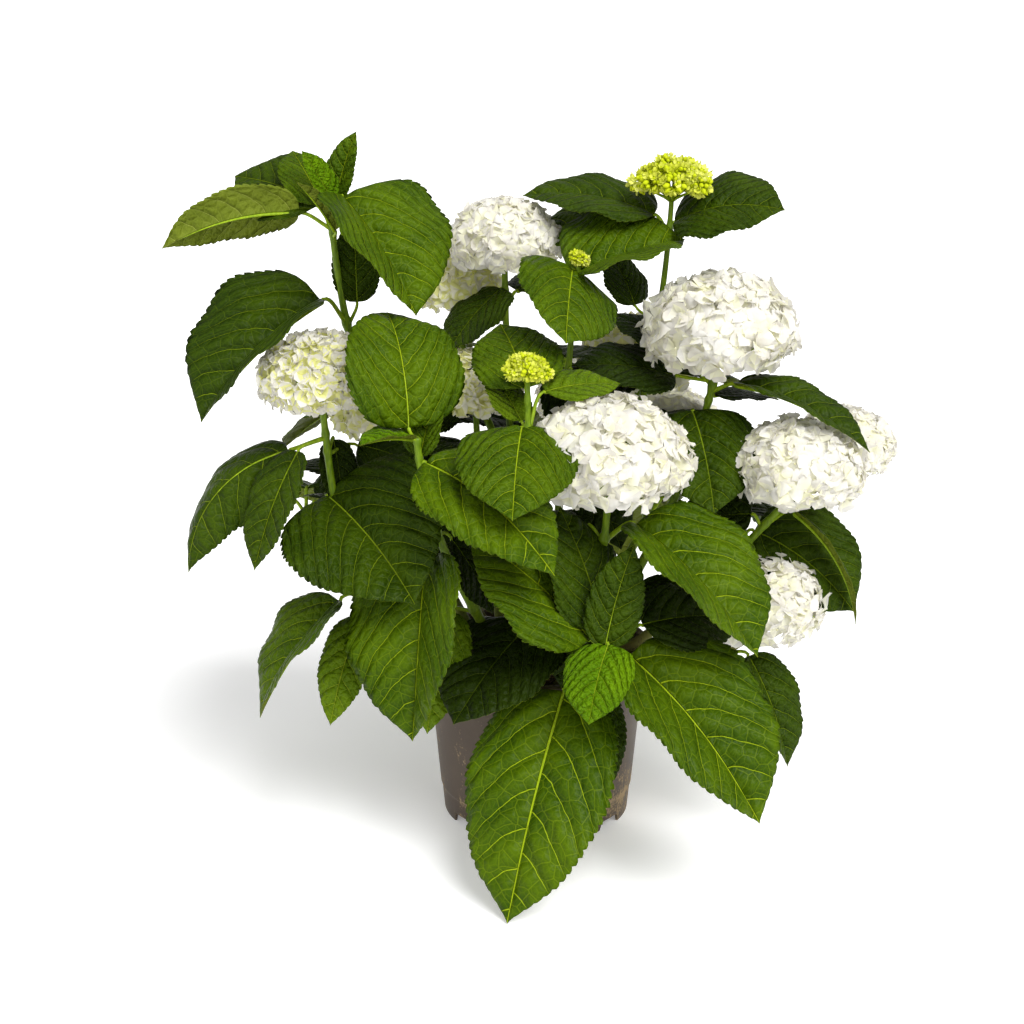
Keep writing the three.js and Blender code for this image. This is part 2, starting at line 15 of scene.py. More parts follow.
import bpy
import numpy as np
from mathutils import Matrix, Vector

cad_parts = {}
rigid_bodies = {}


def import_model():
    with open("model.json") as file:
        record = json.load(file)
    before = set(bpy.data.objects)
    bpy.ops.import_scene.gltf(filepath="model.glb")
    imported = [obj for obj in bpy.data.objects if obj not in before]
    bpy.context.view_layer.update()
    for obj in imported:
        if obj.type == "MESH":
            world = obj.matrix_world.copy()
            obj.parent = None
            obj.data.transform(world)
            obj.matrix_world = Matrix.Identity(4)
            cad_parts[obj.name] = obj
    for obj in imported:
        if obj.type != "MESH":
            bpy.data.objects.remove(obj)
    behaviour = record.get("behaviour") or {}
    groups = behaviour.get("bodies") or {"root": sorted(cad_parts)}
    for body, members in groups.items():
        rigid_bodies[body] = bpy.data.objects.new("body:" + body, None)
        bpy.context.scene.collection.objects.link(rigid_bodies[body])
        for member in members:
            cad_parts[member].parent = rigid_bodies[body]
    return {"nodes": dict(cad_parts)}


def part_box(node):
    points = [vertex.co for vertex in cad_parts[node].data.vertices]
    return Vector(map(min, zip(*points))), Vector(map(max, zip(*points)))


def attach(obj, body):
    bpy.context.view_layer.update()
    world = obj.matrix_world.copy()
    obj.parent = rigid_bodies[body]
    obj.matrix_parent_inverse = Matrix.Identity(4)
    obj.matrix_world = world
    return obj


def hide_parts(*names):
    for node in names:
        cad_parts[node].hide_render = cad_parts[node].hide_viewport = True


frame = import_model()

MM = 0.001
SEED = 20
LOG = logging.getLogger("hydrangea")

Colour = tuple[float, float, float]
Rows = np.ndarray
Faces = tuple[Rows, Rows, Rows]
Ring = tuple[Rows | float, Rows | float]

UP = np.array([0.0, 0.0, 1.0])
GOLDEN = math.pi * (3 - math.sqrt(5))


class Tone(Enum):
    """How old a leaf is, which sets its green; the darkest green is also painted shade on the leaves inside
    and behind the crown.
    """

    # The darkest green: old leaves, and painted shade on the leaves set inside and behind the crown.
    OLD = "old"
    DEEP = "deep"
    FULL = "full"
    FRESH = "fresh"
    YOUNG = "young"


# ---- the plan of the plant ----

COMPOST_TOP = 132.0


@dataclass(frozen=True)
class Shoot:
    """Where a shoot starts and ends, in millimetres.

    It has a foot on the compost, or a parent that it leaves at the height start, and a tip where no head ends
    it. lean and slack say how far it runs outwards low down and near its end, as shares of its whole reach.
    """

    foot: tuple[float, float] | None = None
    tip: tuple[float, float, float] | None = None
    parent: str = ""
    start: float = 0.0
    lean: float = 0.45
    slack: float = 0.08


@dataclass(frozen=True)
class Leaf:
    """One leaf: its node's height, the bearing and slope of its blade, its size and how it is bent.

    rise, bend, fold, roll, lift, turn, arch, sweep and twist are in degrees, and wide and stalk are shares of
    the length. quilt says how much the blade swells between its veins.
    """

    at: float
    to: float
    rise: float
    long: float
    wide: float = 0.72
    bend: float = 25.0
    roll: float = 0.0
    fold: float = 12.0
    stalk: float = 0.2
    lift: float = 35.0
    turn: float | None = None
    tone: Tone = Tone.FULL
    arch: float = 26.0
    sweep: float = 0.0
    twist: float = 0.0
    quilt: float = 1.0


SHOOTS: dict[str, Shoot] = {
    "tall_left": Shoot((-45, 8), (-164, 2, 507)),
    "left": Shoot((-44, -16), lean=1.0),
    "left_back": Shoot(parent="left", start=197),
    "front_left": Shoot((-24, -36), (-93, -115, 360), lean=0.3),
    "front": Shoot((0, -44)),
    "front_low": Shoot((18, -56), (50, -148, 210)),
    "front_right": Shoot((28, -28)),
    "right_tall": Shoot((38, 0), slack=0.16),
    "right_inner": Shoot(parent="right_tall", start=232),
    "right": Shoot((52, -14), slack=0.35),
    "right_back": Shoot(parent="right", start=207),
    "right_low": Shoot((56, -34), lean=0.75),
    "top": Shoot((-8, 12)),
    "top_back": Shoot(parent="top", start=282),
    "middle": Shoot((-24, -8)),
    "small": Shoot((8, -10), slack=0.6),
    "top_right": Shoot((22, 22)),
    "back_left": Shoot((-36, 40)),
    "back": Shoot((-4, 48)),
    "back_right": Shoot((34, 40)),
    "side_left": Shoot((-60, 24), (-200, 70, 244)),
}

OLD, DEEP, FULL, FRESH, YOUNG = Tone.OLD, Tone.DEEP, Tone.FULL, Tone.FRESH, Tone.YOUNG

# The plain leaves of the darkest tone fill the inside and the back of the crown, dark as painted shade.
LEAVES: dict[str, list[Leaf]] = {
    "tall_left": [
        Leaf(426, -156, -41, 136, 0.9, 28, -11, 43, 0.23, 39, -138, DEEP),
        Leaf(422, 100, 75, 68, 0.56, stalk=0.3, lift=65, turn=0, tone=DEEP),
        Leaf(502, -43, -46, 116, 1.04, 30, -2, 38, 0.25, 60, -45),
        Leaf(502, -169, -13, 112, 0.46, 34, 65, 25, 0.25, 24, -175, FRESH),
        Leaf(496, 143, 9, 92, 0.85, 25, -30, stalk=0.28, lift=62, turn=165, tone=DEEP),
        Leaf(502, 121, 35, 64, 0.8, stalk=0.29, lift=63, turn=159),
        Leaf(507, 17, 72, 60, 0.46, 15, 45, 30, 0.22, 72, -31),
        Leaf(507, 168, 59, 48, 0.5, 20, -35, 30, 0.33, 61, -73, YOUNG),
        Leaf(496, -130, 47, 58, 0.36, 15, 0, 50, 0.23, 22, -76, FRESH),
    ],
    "left": [
        Leaf(348, -129, -59, 100, 0.48, 28, 0, 20, 0.26, -25, -157, DEEP),
        Leaf(348, -172, -50, 130, 0.52, 80, -42, -22, 0.26, -25, 172, DEEP),
        Leaf(334, -9, -22, 74, 0.75, 30, 35, stalk=0.64, lift=-8, turn=64, tone=OLD),
        Leaf(334, -65, -70, 62, 0.5, stalk=0.35, lift=10, turn=81, tone=OLD),
        Leaf(286, -52, -26, 132, 1.0, 22, 33, 24, 0.1, 60, -170, DEEP, 18, quilt=1.6),
        Leaf(280, 95, -20, 80, tone=OLD),
        Leaf(198, -152, -51, 112, 0.8, 35, 5, 28, 0.53, 21, -128, twist=10),
        Leaf(198, -128, -64, 90, 0.48, 25, -10, stalk=0.42, lift=4, turn=-118, tone=FRESH),
    ],
    "left_back": [
        Leaf(292, 150, -10, 90, tone=OLD),
        Leaf(292, 20, -10, 80, tone=OLD),
    ],
    "front_left": [
        Leaf(358, 106, 46, 104, 0.88, 90, 0, 18, 0.12, 60, -170, quilt=1.5),
        Leaf(358, -140, 4, 50, fold=30, stalk=0.1, tone=YOUNG, quilt=2),
        Leaf(344, 60, 60, 50, fold=35, stalk=0.05, quilt=2),
        Leaf(344, -36, -29, 138, 0.64, 36, 22, 12, 0.04, -27, -16, quilt=1.6),
        Leaf(240, -97, -60, 142, 0.86, 30, 34, 34, 0.22, 30, -150),
        Leaf(204, -118, -66, 100, 0.5, lift=0, turn=-160, tone=FRESH),
        Leaf(282, -32, -56, 68, 0.8, stalk=0.57, lift=-29, turn=70, tone=OLD),
    ],
    "front": [
        Leaf(368, -95, -31, 95, 0.98, 35, 0, 10, 0.05, 12, -173, quilt=1.5),
        Leaf(390, 104, 21, 88, 0.8, 15, -10, stalk=0.15, lift=34, turn=98),
        Leaf(366, 32, -3, 70, 0.6, 20, 20, 15, 0.49, 50, 52, FRESH),
        Leaf(366, 128, 36, 50, tone=FRESH),
        Leaf(194, -130, -31, 112, 0.95, 30, stalk=0.03, lift=0, tone=OLD),
    ],
    "front_low": [
        Leaf(206, 160, 36, 126, 0.9, 24, -15, 12, 0.08, 10),
        Leaf(206, 134, 61, 100, 0.75, 20, 0, 10, 0.15, 30, 90, DEEP),
        Leaf(204, 36, 71, 82, 0.52, 12, 45, 12, 0.12, 10, -83, DEEP, quilt=2),
        Leaf(204, -113, -52, 64, 0.88, 35, 0, 15, 0.2, 21, -75, YOUNG, quilt=2),
        Leaf(150, -116, -56, 186, 0.64, 30, 0, 12, 0.19, 9, -105),
        Leaf(152, -84, -68, 92, 0.6, 30, stalk=0.15, turn=-30, lift=-20, tone=DEEP),
        Leaf(178, -38, -41, 164, 0.74, 32, 10, 35, 0.18, 18, 5),
        Leaf(184, 30, -8, 95, 0.7, 25, 30, stalk=0.5, turn=20, tone=OLD),
    ],
    "front_right": [
        Leaf(274, -38, -36, 143, 0.8, 34, 4, 35, 0.19, 20, 15),
        Leaf(272, 150, -10, 90, tone=OLD),
        Leaf(232, -28, -24, 70, 0.6, 20, 30, stalk=0.62, lift=-14, turn=32, tone=OLD),
        Leaf(222, -120, -55, 84, stalk=0.1, tone=OLD),
    ],
    "right_tall": [
        Leaf(370, -31, -19, 124, 0.42, 38, 0, 30, 0.17, 15, -20, DEEP),
        Leaf(378, -170, 8, 86, 0.85, 25, -22, stalk=0.38, lift=1, turn=163, tone=OLD),
        Leaf(342, -80, -42, 98, 0.95, 34, 5, 15, 0.15, 45, -150, DEEP),
        Leaf(360, 28, -11, 66, stalk=0.1, tone=OLD),
        Leaf(374, 150, 22, 66, 0.9, stalk=0.6, tone=OLD),
    ],
    "right_inner": [
        Leaf(312, 170, -10, 80, tone=OLD),
        Leaf(312, 60, -10, 90, tone=OLD),
    ],
    "right": [
        Leaf(244, -21, -35, 105, 0.95, 35, 40, 15, 0.26, 16, 63, DEEP),
        Leaf(266, -32, -56, 104, 0.24, 60, -25, 25, 0.3, 8, 31, DEEP),
        Leaf(244, 140, -15, 90, tone=OLD),
        Leaf(266, 172, -15, 70, roll=-40, tone=OLD),
    ],
    "right_back": [
        Leaf(244, 20, -45, 80, bend=40, tone=DEEP),
        Leaf(244, 160, 0, 80, tone=OLD),
    ],
    "right_low": [
        Leaf(156, -44, -63, 97, 0.56, 32, 0, 32, 0.23, -9, -2, DEEP),
        Leaf(156, 110, -20, 80, bend=35, tone=DEEP),
    ],
    "top": [
        Leaf(438, -144, -41, 69, 0.95, 28, stalk=0.08, tone=DEEP),
        Leaf(428, 40, 0, 80, tone=DEEP),
        Leaf(362, 170, -10, 100, tone=OLD),
        Leaf(362, -10, -10, 90, tone=OLD),
    ],
    "top_back": [
        Leaf(372, 120, -30, 100, bend=35, tone=DEEP),
        Leaf(372, -60, 0, 60, tone=OLD),
    ],
    "middle": [
        Leaf(312, 200, -10, 80, tone=OLD),
        Leaf(312, 20, -10, 80, tone=OLD),
        Leaf(354, 180, -20, 60, 0.95, roll=-60, tone=OLD),
        Leaf(272, -110, -50, 90, tone=OLD),
        Leaf(232, -55, -50, 84, tone=OLD),
    ],
    "small": [
        Leaf(464, -95, -27, 92, 0.98, 30, -32, 10, 0.08, 60, -168),
        Leaf(457, 18, 14, 98, 1.2, 20, 10, 34, 0.08, 60, 120),
        Leaf(382, 100, -10, 100, tone=OLD),
        Leaf(382, -80, -45, 80, tone=OLD),
        Leaf(312, -50, -50, 90, tone=OLD),
    ],
    "top_right": [
        Leaf(492, 169, 6, 110, 0.72, 35, -14, 15, 0.17, 46, 156, DEEP),
        Leaf(488, 170, -18, 94, 0.8, 25, -20, stalk=0.4, lift=30, turn=140),
        Leaf(496, -20, 9, 92, 0.95, 45, 28, 15, 0.06, 49, 1, DEEP),
        Leaf(420, 132, 51, 54, 0.8, 20, 0, 12, 0.44, 23, 148, DEEP),
        Leaf(362, 40, -20, 110, bend=40, tone=DEEP),
        Leaf(362, -140, -10, 90, tone=OLD),
    ],
    "back_left": [
        Leaf(312, 150, -30, 130, bend=40),
        Leaf(312, -20, -10, 110, tone=OLD),
        Leaf(242, 110, -40, 140, bend=40, tone=DEEP),
        Leaf(242, 180, -35, 110, bend=40, tone=DEEP),
    ],
    "back": [
        Leaf(317, 110, -35, 120, bend=40),
        Leaf(317, -60, -10, 110, tone=OLD),
        Leaf(252, 70, -40, 130, bend=40, tone=DEEP),
        Leaf(252, 130, -45, 130, bend=40, tone=DEEP),
    ],
    "back_right": [
        Leaf(282, 60, -35, 126, bend=38),
        Leaf(282, -15, -50, 120, bend=40, tone=DEEP),
        Leaf(222, 30, -50, 130, bend=40, tone=DEEP),
        Leaf(222, 100, -45, 130, bend=40, tone=DEEP),
    ],
    "side_left": [
        Leaf(240, 150, -30, 90, bend=40, tone=DEEP),
        Leaf(244, 90, -25, 120, bend=40, tone=DEEP),
        Leaf(244, 30, 20, 80, tone=OLD),
        Leaf(197, 60, -45, 100, bend=35, tone=DEEP),
    ],
}


# ---- shader and geometry node trees ----


class Wire:
    """A node's output that Python's operators carry on with Math nodes."""

    def __init__(self, board: Board, socket: bpy.types.NodeSocket) -> None:
        """Keep the board and the socket together."""
        self.board = board
        self.socket = socket

    def __add__(self, other: Wire | float) -> Wire:
        """Sum."""
        return self.board.maths("ADD", self, other)

    def __radd__(self, other: float) -> Wire:
        """Sum with a number on the left."""
        return self.board.maths("ADD", other, self)

    def __sub__(self, other: Wire | float) -> Wire:
        """Difference."""
        return self.board.maths("SUBTRACT", self, other)

    def __rsub__(self, other: float) -> Wire:
        """Difference from a number."""
        return self.board.maths("SUBTRACT", other, self)

    def __mul__(self, other: Wire | float) -> Wire:
        """Product."""
        return self.board.maths("MULTIPLY", self, other)

    def __truediv__(self, other: Wire | float) -> Wire:
        """Quotient."""
        return self.board.maths("DIVIDE", self, other)

    def __abs__(self) -> Wire:
        """Size without the sign."""
        return self.board.maths("ABSOLUTE", self)


class Board:
    """A node tree that is being wired."""

    def __init__(self, tree: bpy.types.NodeTree) -> None:
        """Start on an empty tree."""
        self.tree = tree
        tree.nodes.clear()

    def node(self, kind: str, settings: dict | None = None, sockets: dict | None = None) -> bpy.types.Node:
        """Add a node.

        Args:
            kind: the node's type.
            settings: its own settings, set first; stops are a ramp's positions and colours.
            sockets: values or wires by socket name or number.

        Returns:
            The new node.
        """
        made = self.tree.nodes.new(kind)
        for key, value in (settings or {}).items():
            if key == "stops":
                for spare in range(len(value) - len(made.color_ramp.elements)):
                    made.color_ramp.elements.new(0.5)
                for stop, (place, colour) in zip(made.color_ramp.elements, value):
                    stop.position = place
                    stop.color = (*colour, 1.0)
            else:
                setattr(made, key, value)
        for key, value in (sockets or {}).items():
            if isinstance(value, Wire):
                self.tree.links.new(value.socket, made.inputs[key])
            else:
                made.inputs[key].default_value = value
        return made

    def wire(self, kind: str, settings: dict | None = None, sockets: dict | None = None,
             out: int | str = 0) -> Wire:
        """Add a node and return one of its outputs."""
        return Wire(self, self.node(kind, settings, sockets).outputs[out])

    def maths(self, operation: str, *values: Wire | float) -> Wire:
        """Add a Math node on one to three values."""
        return self.wire("ShaderNodeMath", {"operation": operation}, dict(enumerate(values)))

    def reading(self, name: str) -> Wire:
        """A number that the mesh carries by name."""
        return self.wire("ShaderNodeAttribute", {"attribute_name": name}, out="Fac")

    def place(self) -> Wire:
        """The place on the piece, in metres."""
        return self.wire("ShaderNodeTexCoord", out="Object")

    def split(self, vector: Wire) -> list[Wire]:
        """The three numbers of a vector."""
        return [Wire(self, socket) for socket in self.node("ShaderNodeSeparateXYZ", {}, {0: vector}).outputs]

    def smooth(self, value: Wire, low: float | Wire, high: float | Wire, start: float = 0.0,
               end: float = 1.0) -> Wire:
        """Ease from start to end while value goes from low to high."""
        sockets = {"Value": value, "From Min": low, "From Max": high, "To Min": start, "To Max": end}
        return self.wire("ShaderNodeMapRange", {"interpolation_type": "SMOOTHSTEP"}, sockets)

    def blend(self, share: Wire | float, first: Wire | Colour, second: Wire | Colour) -> Wire:
        """Mix two colours.

        Args:
            share: how much of the second one.
            first: the colour at a share of nothing.
            second: the colour at a share of one.

        Returns:
            The mixed colour.
        """
        first = first if isinstance(first, Wire) else (*first, 1.0)
        second = second if isinstance(second, Wire) else (*second, 1.0)
        return self.wire("ShaderNodeMix", {"data_type": "RGBA"}, {0: share, 6: first, 7: second}, 2)

    def noise(self, place: Wire, scale: float, detail: float = 2.0, roughness: float = 0.5) -> Wire:
        """Noise about 0.5 at a place."""
        sockets = {"Vector": place, "Scale": scale, "Detail": detail, "Roughness": roughness}
        return self.wire("ShaderNodeTexNoise", {}, sockets)

    def stretch(self, place: Wire, scale: tuple[float, float, float]) -> Wire:
        """Scale a place along its axes."""
        return self.wire("ShaderNodeVectorMath", {"operation": "MULTIPLY"}, {0: place, 1: scale})

    def join(self, x: Wire | float, y: Wire | float, z: Wire | float) -> Wire:
        """Make a vector of three values."""
        return self.wire("ShaderNodeCombineXYZ", {}, {0: x, 1: y, 2: z})

    def bump(self, height: Wire, distance: float, strength: float = 1.0) -> Wire:
        """Turn a height into a normal; distance is in metres."""
        return self.wire("ShaderNodeBump", {}, {"Height": height, "Distance": distance, "Strength": strength})


def shader(name: str) -> tuple[bpy.types.Material, Board]:
    """Start a material.

    Args:
        name: the material's name.

    Returns:
        The material and the board of its empty tree.
    """
    material = bpy.data.materials.new(name)
    material.use_nodes = True
    return material, Board(material.node_tree)


def close_shader(board: Board, sockets: dict) -> None:
    """Put the Principled shader and the output at the end of a board."""
    surface = board.wire("ShaderNodeBsdfPrincipled", {}, sockets)
    board.node("ShaderNodeOutputMaterial", {}, {"Surface": surface})


# ---- finishes ----

# The vein pattern of a blade, shared by its relief and its colour. Side veins leave the midrib at a slant and
# bow towards the tip, rungs run from one side vein to the next, and a fine net fills the cells between them.
# Lengths are shares of the blade's. Each edge of the rib has its place at the base and how much it thins.
VEIN_PAIRS = 6.0
VEIN_LEAN = 0.50
VEIN_BOW = 2.40
VEIN_STAGGER = 0.4
VEIN_WOBBLE = 0.3
VEIN_WIDTH = 0.0034
VEIN_THINS = 0.005
RIB_EDGES = ((0.0050, 0.0032), (0.0100, 0.0064))
RUNG_SCALE = 13.0
RUNG_BOW = 0.9
RUNG_WIDTH = (0.008, 0.05)
NET_SCALE = 2.7
NET_WIDTH = (0.01, 0.14)


class Veins:
    """The wires of a blade's veins, on its Blade and Flat maps and the seed of each leaf."""

    def __init__(self, b: Board) -> None:
        """Wire the pattern.

        Args:
            b: the board of a leaf's material.
        """
        blade, self.flat = (b.wire("ShaderNodeUVMap", {"uv_map": label}) for label in ("Blade", "Flat"))
        seed = b.reading("seed")
        across = b.split(blade)[0] * 2.0 - 1.0
        sideways, along, _ = b.split(self.flat)
        out = abs(sideways)
        side = b.maths("GREATER_THAN", across, 0.0)
        shift = b.join(seed * 9.0, side * 3.0, seed)
        self.place = b.wire("ShaderNodeVectorMath", {"operation": "ADD"}, {0: self.flat, 1: shift})
        wobble = b.noise(self.place, 8.0) - 0.5
        origin = along - out * VEIN_LEAN - out * out * VEIN_BOW
        index = origin * VEIN_PAIRS + side * VEIN_STAGGER + seed + wobble * VEIN_WOBBLE
        self.apart = abs(b.maths("FRACT", index + 0.5) - 0.5)
        distance = self.apart * (0.90 - out * 1.30) / VEIN_PAIRS
        margin = b.smooth(abs(across), 0.6, 1.0, 1.0, 0.25)
        from_base = b.smooth(origin, -0.16, -0.02, 0.3, 1.0)
        thin = VEIN_WIDTH - out * VEIN_THINS
        self.side = b.smooth(distance, thin * 0.4, thin * 1.3, 1.0, 0.0) * from_base * margin
        inner, outer = (width - along * thins for width, thins in RIB_EDGES)
        self.rib = b.smooth(out, inner, outer, 1.0, 0.0)
        rung_along = out * RUNG_BOW - out * out * RUNG_BOW + along * 0.9 + wobble * 0.03
        rung_place = b.join(index * 1.7 + seed * 53.0 + side * 17.0, rung_along * RUNG_SCALE, 0.0)
        cells = {"feature": "DISTANCE_TO_EDGE", "voronoi_dimensions": "2D"}
        around = {"Vector": rung_place, "Scale": 1.0, "Randomness": 0.8}
        self.rung = b.wire("ShaderNodeTexVoronoi", cells, around, "Distance")
        mesh_place = b.stretch(rung_place, (NET_SCALE, NET_SCALE, 1.0))
        self.net = b.wire("ShaderNodeTexVoronoi", cells, {"Vector": mesh_place, "Scale": 1.0}, "Distance")
        coarse = b.maths("MAXIMUM", self.rib, self.side * 0.95)
        rungs = b.smooth(self.rung, *RUNG_WIDTH, 1.0, 0.0)
        nets = b.smooth(self.net, *NET_WIDTH, 1.0, 0.0)
        self.all = b.maths("MAXIMUM", coarse, b.maths("MAXIMUM", rungs * 0.20, nets * 0.06))


@dataclass(frozen=True)
class LeafFinish:
    """The upper side, or the underside, of a leaf of one tone; show is how much its veins stand out."""

    name: str
    # The body runs from the second colour, painted shade beside the veins and rungs along with the dark of a
    # random mottle, to the blade colour, a painted highlight on the swollen middle of each panel.
    blade: Colour
    shade_and_dark_mottle: Colour
    vein: Colour
    show: float
    roughness: float = 0.38
    specular: float = 0.05
    relief: float = 1.0
    relief_depth: float = 2.5

    def material(self) -> bpy.types.Material:
        """Build the material: mottled between the veins, painted lighter on each swollen panel and darker
        beside its veins, swollen there and fine grained.

        Returns:
            The material.
        """
        material, b = shader(self.name)
        veins = Veins(b)
        mottle = b.smooth(b.noise(veins.place, 3.2, 3.0), 0.36, 0.7)
        # Painted highlight and shade: lighter where each panel swells between the side veins, darker beside
        # them and along the rungs, over a random mottle.
        mottle_and_panel_light = mottle * 0.5 + veins.apart * 0.6 + b.smooth(veins.rung, 0.0, 0.3) * 0.16
        body = b.blend(mottle_and_panel_light, self.shade_and_dark_mottle, self.blade)
        grain = b.noise(veins.flat, 150.0, 2.0, 0.7)
        quilt = veins.apart * (1.0 - veins.apart) * 2.8
        swell = quilt + b.smooth(veins.rung, 0.0, 0.4) * 0.34 + b.smooth(veins.net, 0.0, 0.4) * 0.08
        height = swell - veins.rib * 0.7 - veins.side * 0.25 + grain * 0.08
        close_shader(b, {
            "Base Color": b.blend(veins.all * self.show, body, self.vein),
            "Roughness": self.roughness + (grain - 0.5) * 0.2 + veins.all * 0.08,
            "Specular IOR Level": self.specular,
            "Normal": b.bump(height, self.relief_depth * MM * self.relief, 1.0),
        })
        return material


UPPER: dict[Tone, LeafFinish] = {
    # The darkest finish is old leaf green and also painted shade for the leaves inside and behind the crown.
    OLD: LeafFinish("leaf_old_and_shaded", (0.018, 0.033, 0.002), (0.007, 0.015, 0.001), (0.091, 0.137, 0.008), 0.6),
    DEEP: LeafFinish("leaf_deep", (0.032, 0.059, 0.001), (0.009, 0.022, 0.001), (0.175, 0.243, 0.008), 0.7),
    FULL: LeafFinish("leaf_full", (0.063, 0.110, 0.001), (0.015, 0.040, 0.001), (0.32, 0.42, 0.010), 0.75),
    FRESH: LeafFinish("leaf_fresh", (0.099, 0.160, 0.003), (0.053, 0.103, 0.002), (0.319, 0.410, 0.023), 0.7),
    YOUNG: LeafFinish(
        "leaf_young", (0.114, 0.220, 0.002), (0.046, 0.114, 0.001), (0.350, 0.471, 0.015), 0.6, relief=1.5,
    ),
}
UNDER = LeafFinish(
    "leaf_under", (0.125, 0.160, 0.011), (0.084, 0.114, 0.006), (0.304, 0.350, 0.053), 0.7, 0.6, 0.10,
)


@dataclass(frozen=True)
class StemFinish:
    """Green stem, browner and woody towards its foot, with dark flecks; grains count waves in a metre."""

    name: str = "stem_green"
    green: Colour = (0.085, 0.150, 0.003)
    light: Colour = (0.160, 0.250, 0.006)
    olive: Colour = (0.120, 0.105, 0.030)
    fleck: Colour = (0.030, 0.020, 0.018)
    streak_grain: float = 420.0
    patch_grain: float = 45.0
    fleck_grain: float = 900.0

    def material(self) -> bpy.types.Material:
        """Build the material on Object coordinates and the age along the stem.

        Returns:
            The material.
        """
        material, b = shader(self.name)
        place, age = b.place(), b.reading("age")
        streak = b.noise(b.stretch(place, (1.0, 1.0, 0.25)), self.streak_grain, 3.0, 0.6)
        patch = b.noise(place, self.patch_grain)
        green = b.blend(b.smooth(streak, 0.35, 0.7), self.green, self.light)
        old = b.smooth(age + (patch - 0.5) * 0.35, 0.55, 0.95)
        spots = b.noise(b.stretch(place, (1.0, 1.0, 0.45)), self.fleck_grain, 1.0)
        dark = b.smooth(spots, 0.66, 0.74) * b.smooth(age, 0.15, 0.5)
        close_shader(b, {
            "Base Color": b.blend(dark * 0.85, b.blend(old, green, self.olive), self.fleck),
            "Roughness": 0.45 + old * 0.35,
            "Specular IOR Level": 0.2,
            "Normal": b.bump(streak * 0.5 - dark * 0.3 + old * streak * 0.8, 0.4 * MM, 0.7),
        })
        return material


@dataclass(frozen=True)
class PetalFinish:
    """Petal tissue: nearly plain, with faint streaks and soft puckers.

    thin is the share of light that comes through, and grains count waves in a metre.
    """

    name: str
    petal: Colour
    warm: Colour
    thin: float = 0.45
    cloud_grain: float = 60.0
    crease_grain: float = 320.0

    def material(self) -> bpy.types.Material:
        """Build the material on Object coordinates.

        Returns:
            The material.
        """
        material, b = shader(self.name)
        place = b.place()
        cloud = b.noise(place, self.cloud_grain)
        crease = b.noise(place, self.crease_grain, 3.0, 0.55)
        colour = b.blend(b.smooth(cloud, 0.35, 0.7), self.petal, self.warm)
        solid = b.wire("ShaderNodeBsdfPrincipled", {}, {
            "Base Color": colour,
            "Roughness": 0.62,
            "Specular IOR Level": 0.12,
            "Normal": b.bump(crease, 0.7 * MM, 0.35),
        })
        glow = b.wire("ShaderNodeBsdfTranslucent", {}, {"Color": colour})
        mixed = b.wire("ShaderNodeMixShader", {}, {0: self.thin, 1: solid, 2: glow})
        b.node("ShaderNodeOutputMaterial", {}, {"Surface": mixed})
        return material


PETAL = PetalFinish("petal_white", (0.79, 0.775, 0.74), (0.77, 0.74, 0.67))
CREAM = PetalFinish("petal_cream", (0.91, 0.89, 0.79), (0.88, 0.86, 0.70))
CLAW = PetalFinish("petal_claw", (0.92, 0.905, 0.80), (0.90, 0.89, 0.68))
GREENISH = PetalFinish("petal_greenish", (0.87, 0.86, 0.44), (0.83, 0.84, 0.34))
EYE = PetalFinish("floret_eye", (0.80, 0.78, 0.46), (0.86, 0.84, 0.60), 0.0)
BUD = PetalFinish("bud_lime", (0.48, 0.56, 0.004), (0.58, 0.64, 0.015), 0.2)
BUD_TIP = PetalFinish("bud_tip", (0.64, 0.68, 0.05), (0.80, 0.82, 0.20), 0.3)


@dataclass(frozen=True)
class PotFinish:
    """Taupe moulded plastic with splashes of dried compost low on the wall.

    The splashes gather under dirty_top and round the moulded line at ridge; heights are in metres.
    """

    name: str = "pot_taupe"
    plastic: Colour = (0.065, 0.046, 0.032)
    scuff: Colour = (0.100, 0.076, 0.054)
    soil: Colour = (0.350, 0.255, 0.140)
    roughness: float = 0.46
    dirty_top: float = 0.070
    ridge: float = 0.024
    ridge_reach: float = 0.007
    splash: tuple[float, float] = (0.553, 0.625)

    def material(self) -> bpy.types.Material:
        """Build the material on Object coordinates.

        Returns:
            The material.
        """
        material, b = shader(self.name)
        place = b.place()
        height = b.split(place)[2]
        grain = b.noise(place, 900.0, 2.0, 0.6)
        cloud = b.noise(place, 22.0, 3.0)
        dust = b.noise(b.stretch(place, (1.0, 1.0, 0.5)), 38.0, 6.0, 0.72)
        speck = b.noise(place, 420.0, 3.0, 0.7)
        low = b.smooth(height, 0.010, self.dirty_top, 1.0, 0.0)
        ridge = b.smooth(abs(height - self.ridge), 0.0, self.ridge_reach, 1.0, 0.0)
        dirt = b.smooth(dust * 0.62 + speck * 0.38 + low * 0.045 + ridge * 0.055, *self.splash)
        body = b.blend(b.smooth(cloud, 0.4, 0.75) * 0.45, self.plastic, self.scuff)
        close_shader(b, {
            "Base Color": b.blend(dirt * 0.8, body, self.soil),
            "Roughness": self.roughness + dirt * 0.35 + (cloud - 0.5) * 0.12,
            "Specular IOR Level": 0.20,
            "Normal": b.bump(grain * 0.25 + dirt * 0.8, 0.25 * MM, 0.6),
        })
        return material


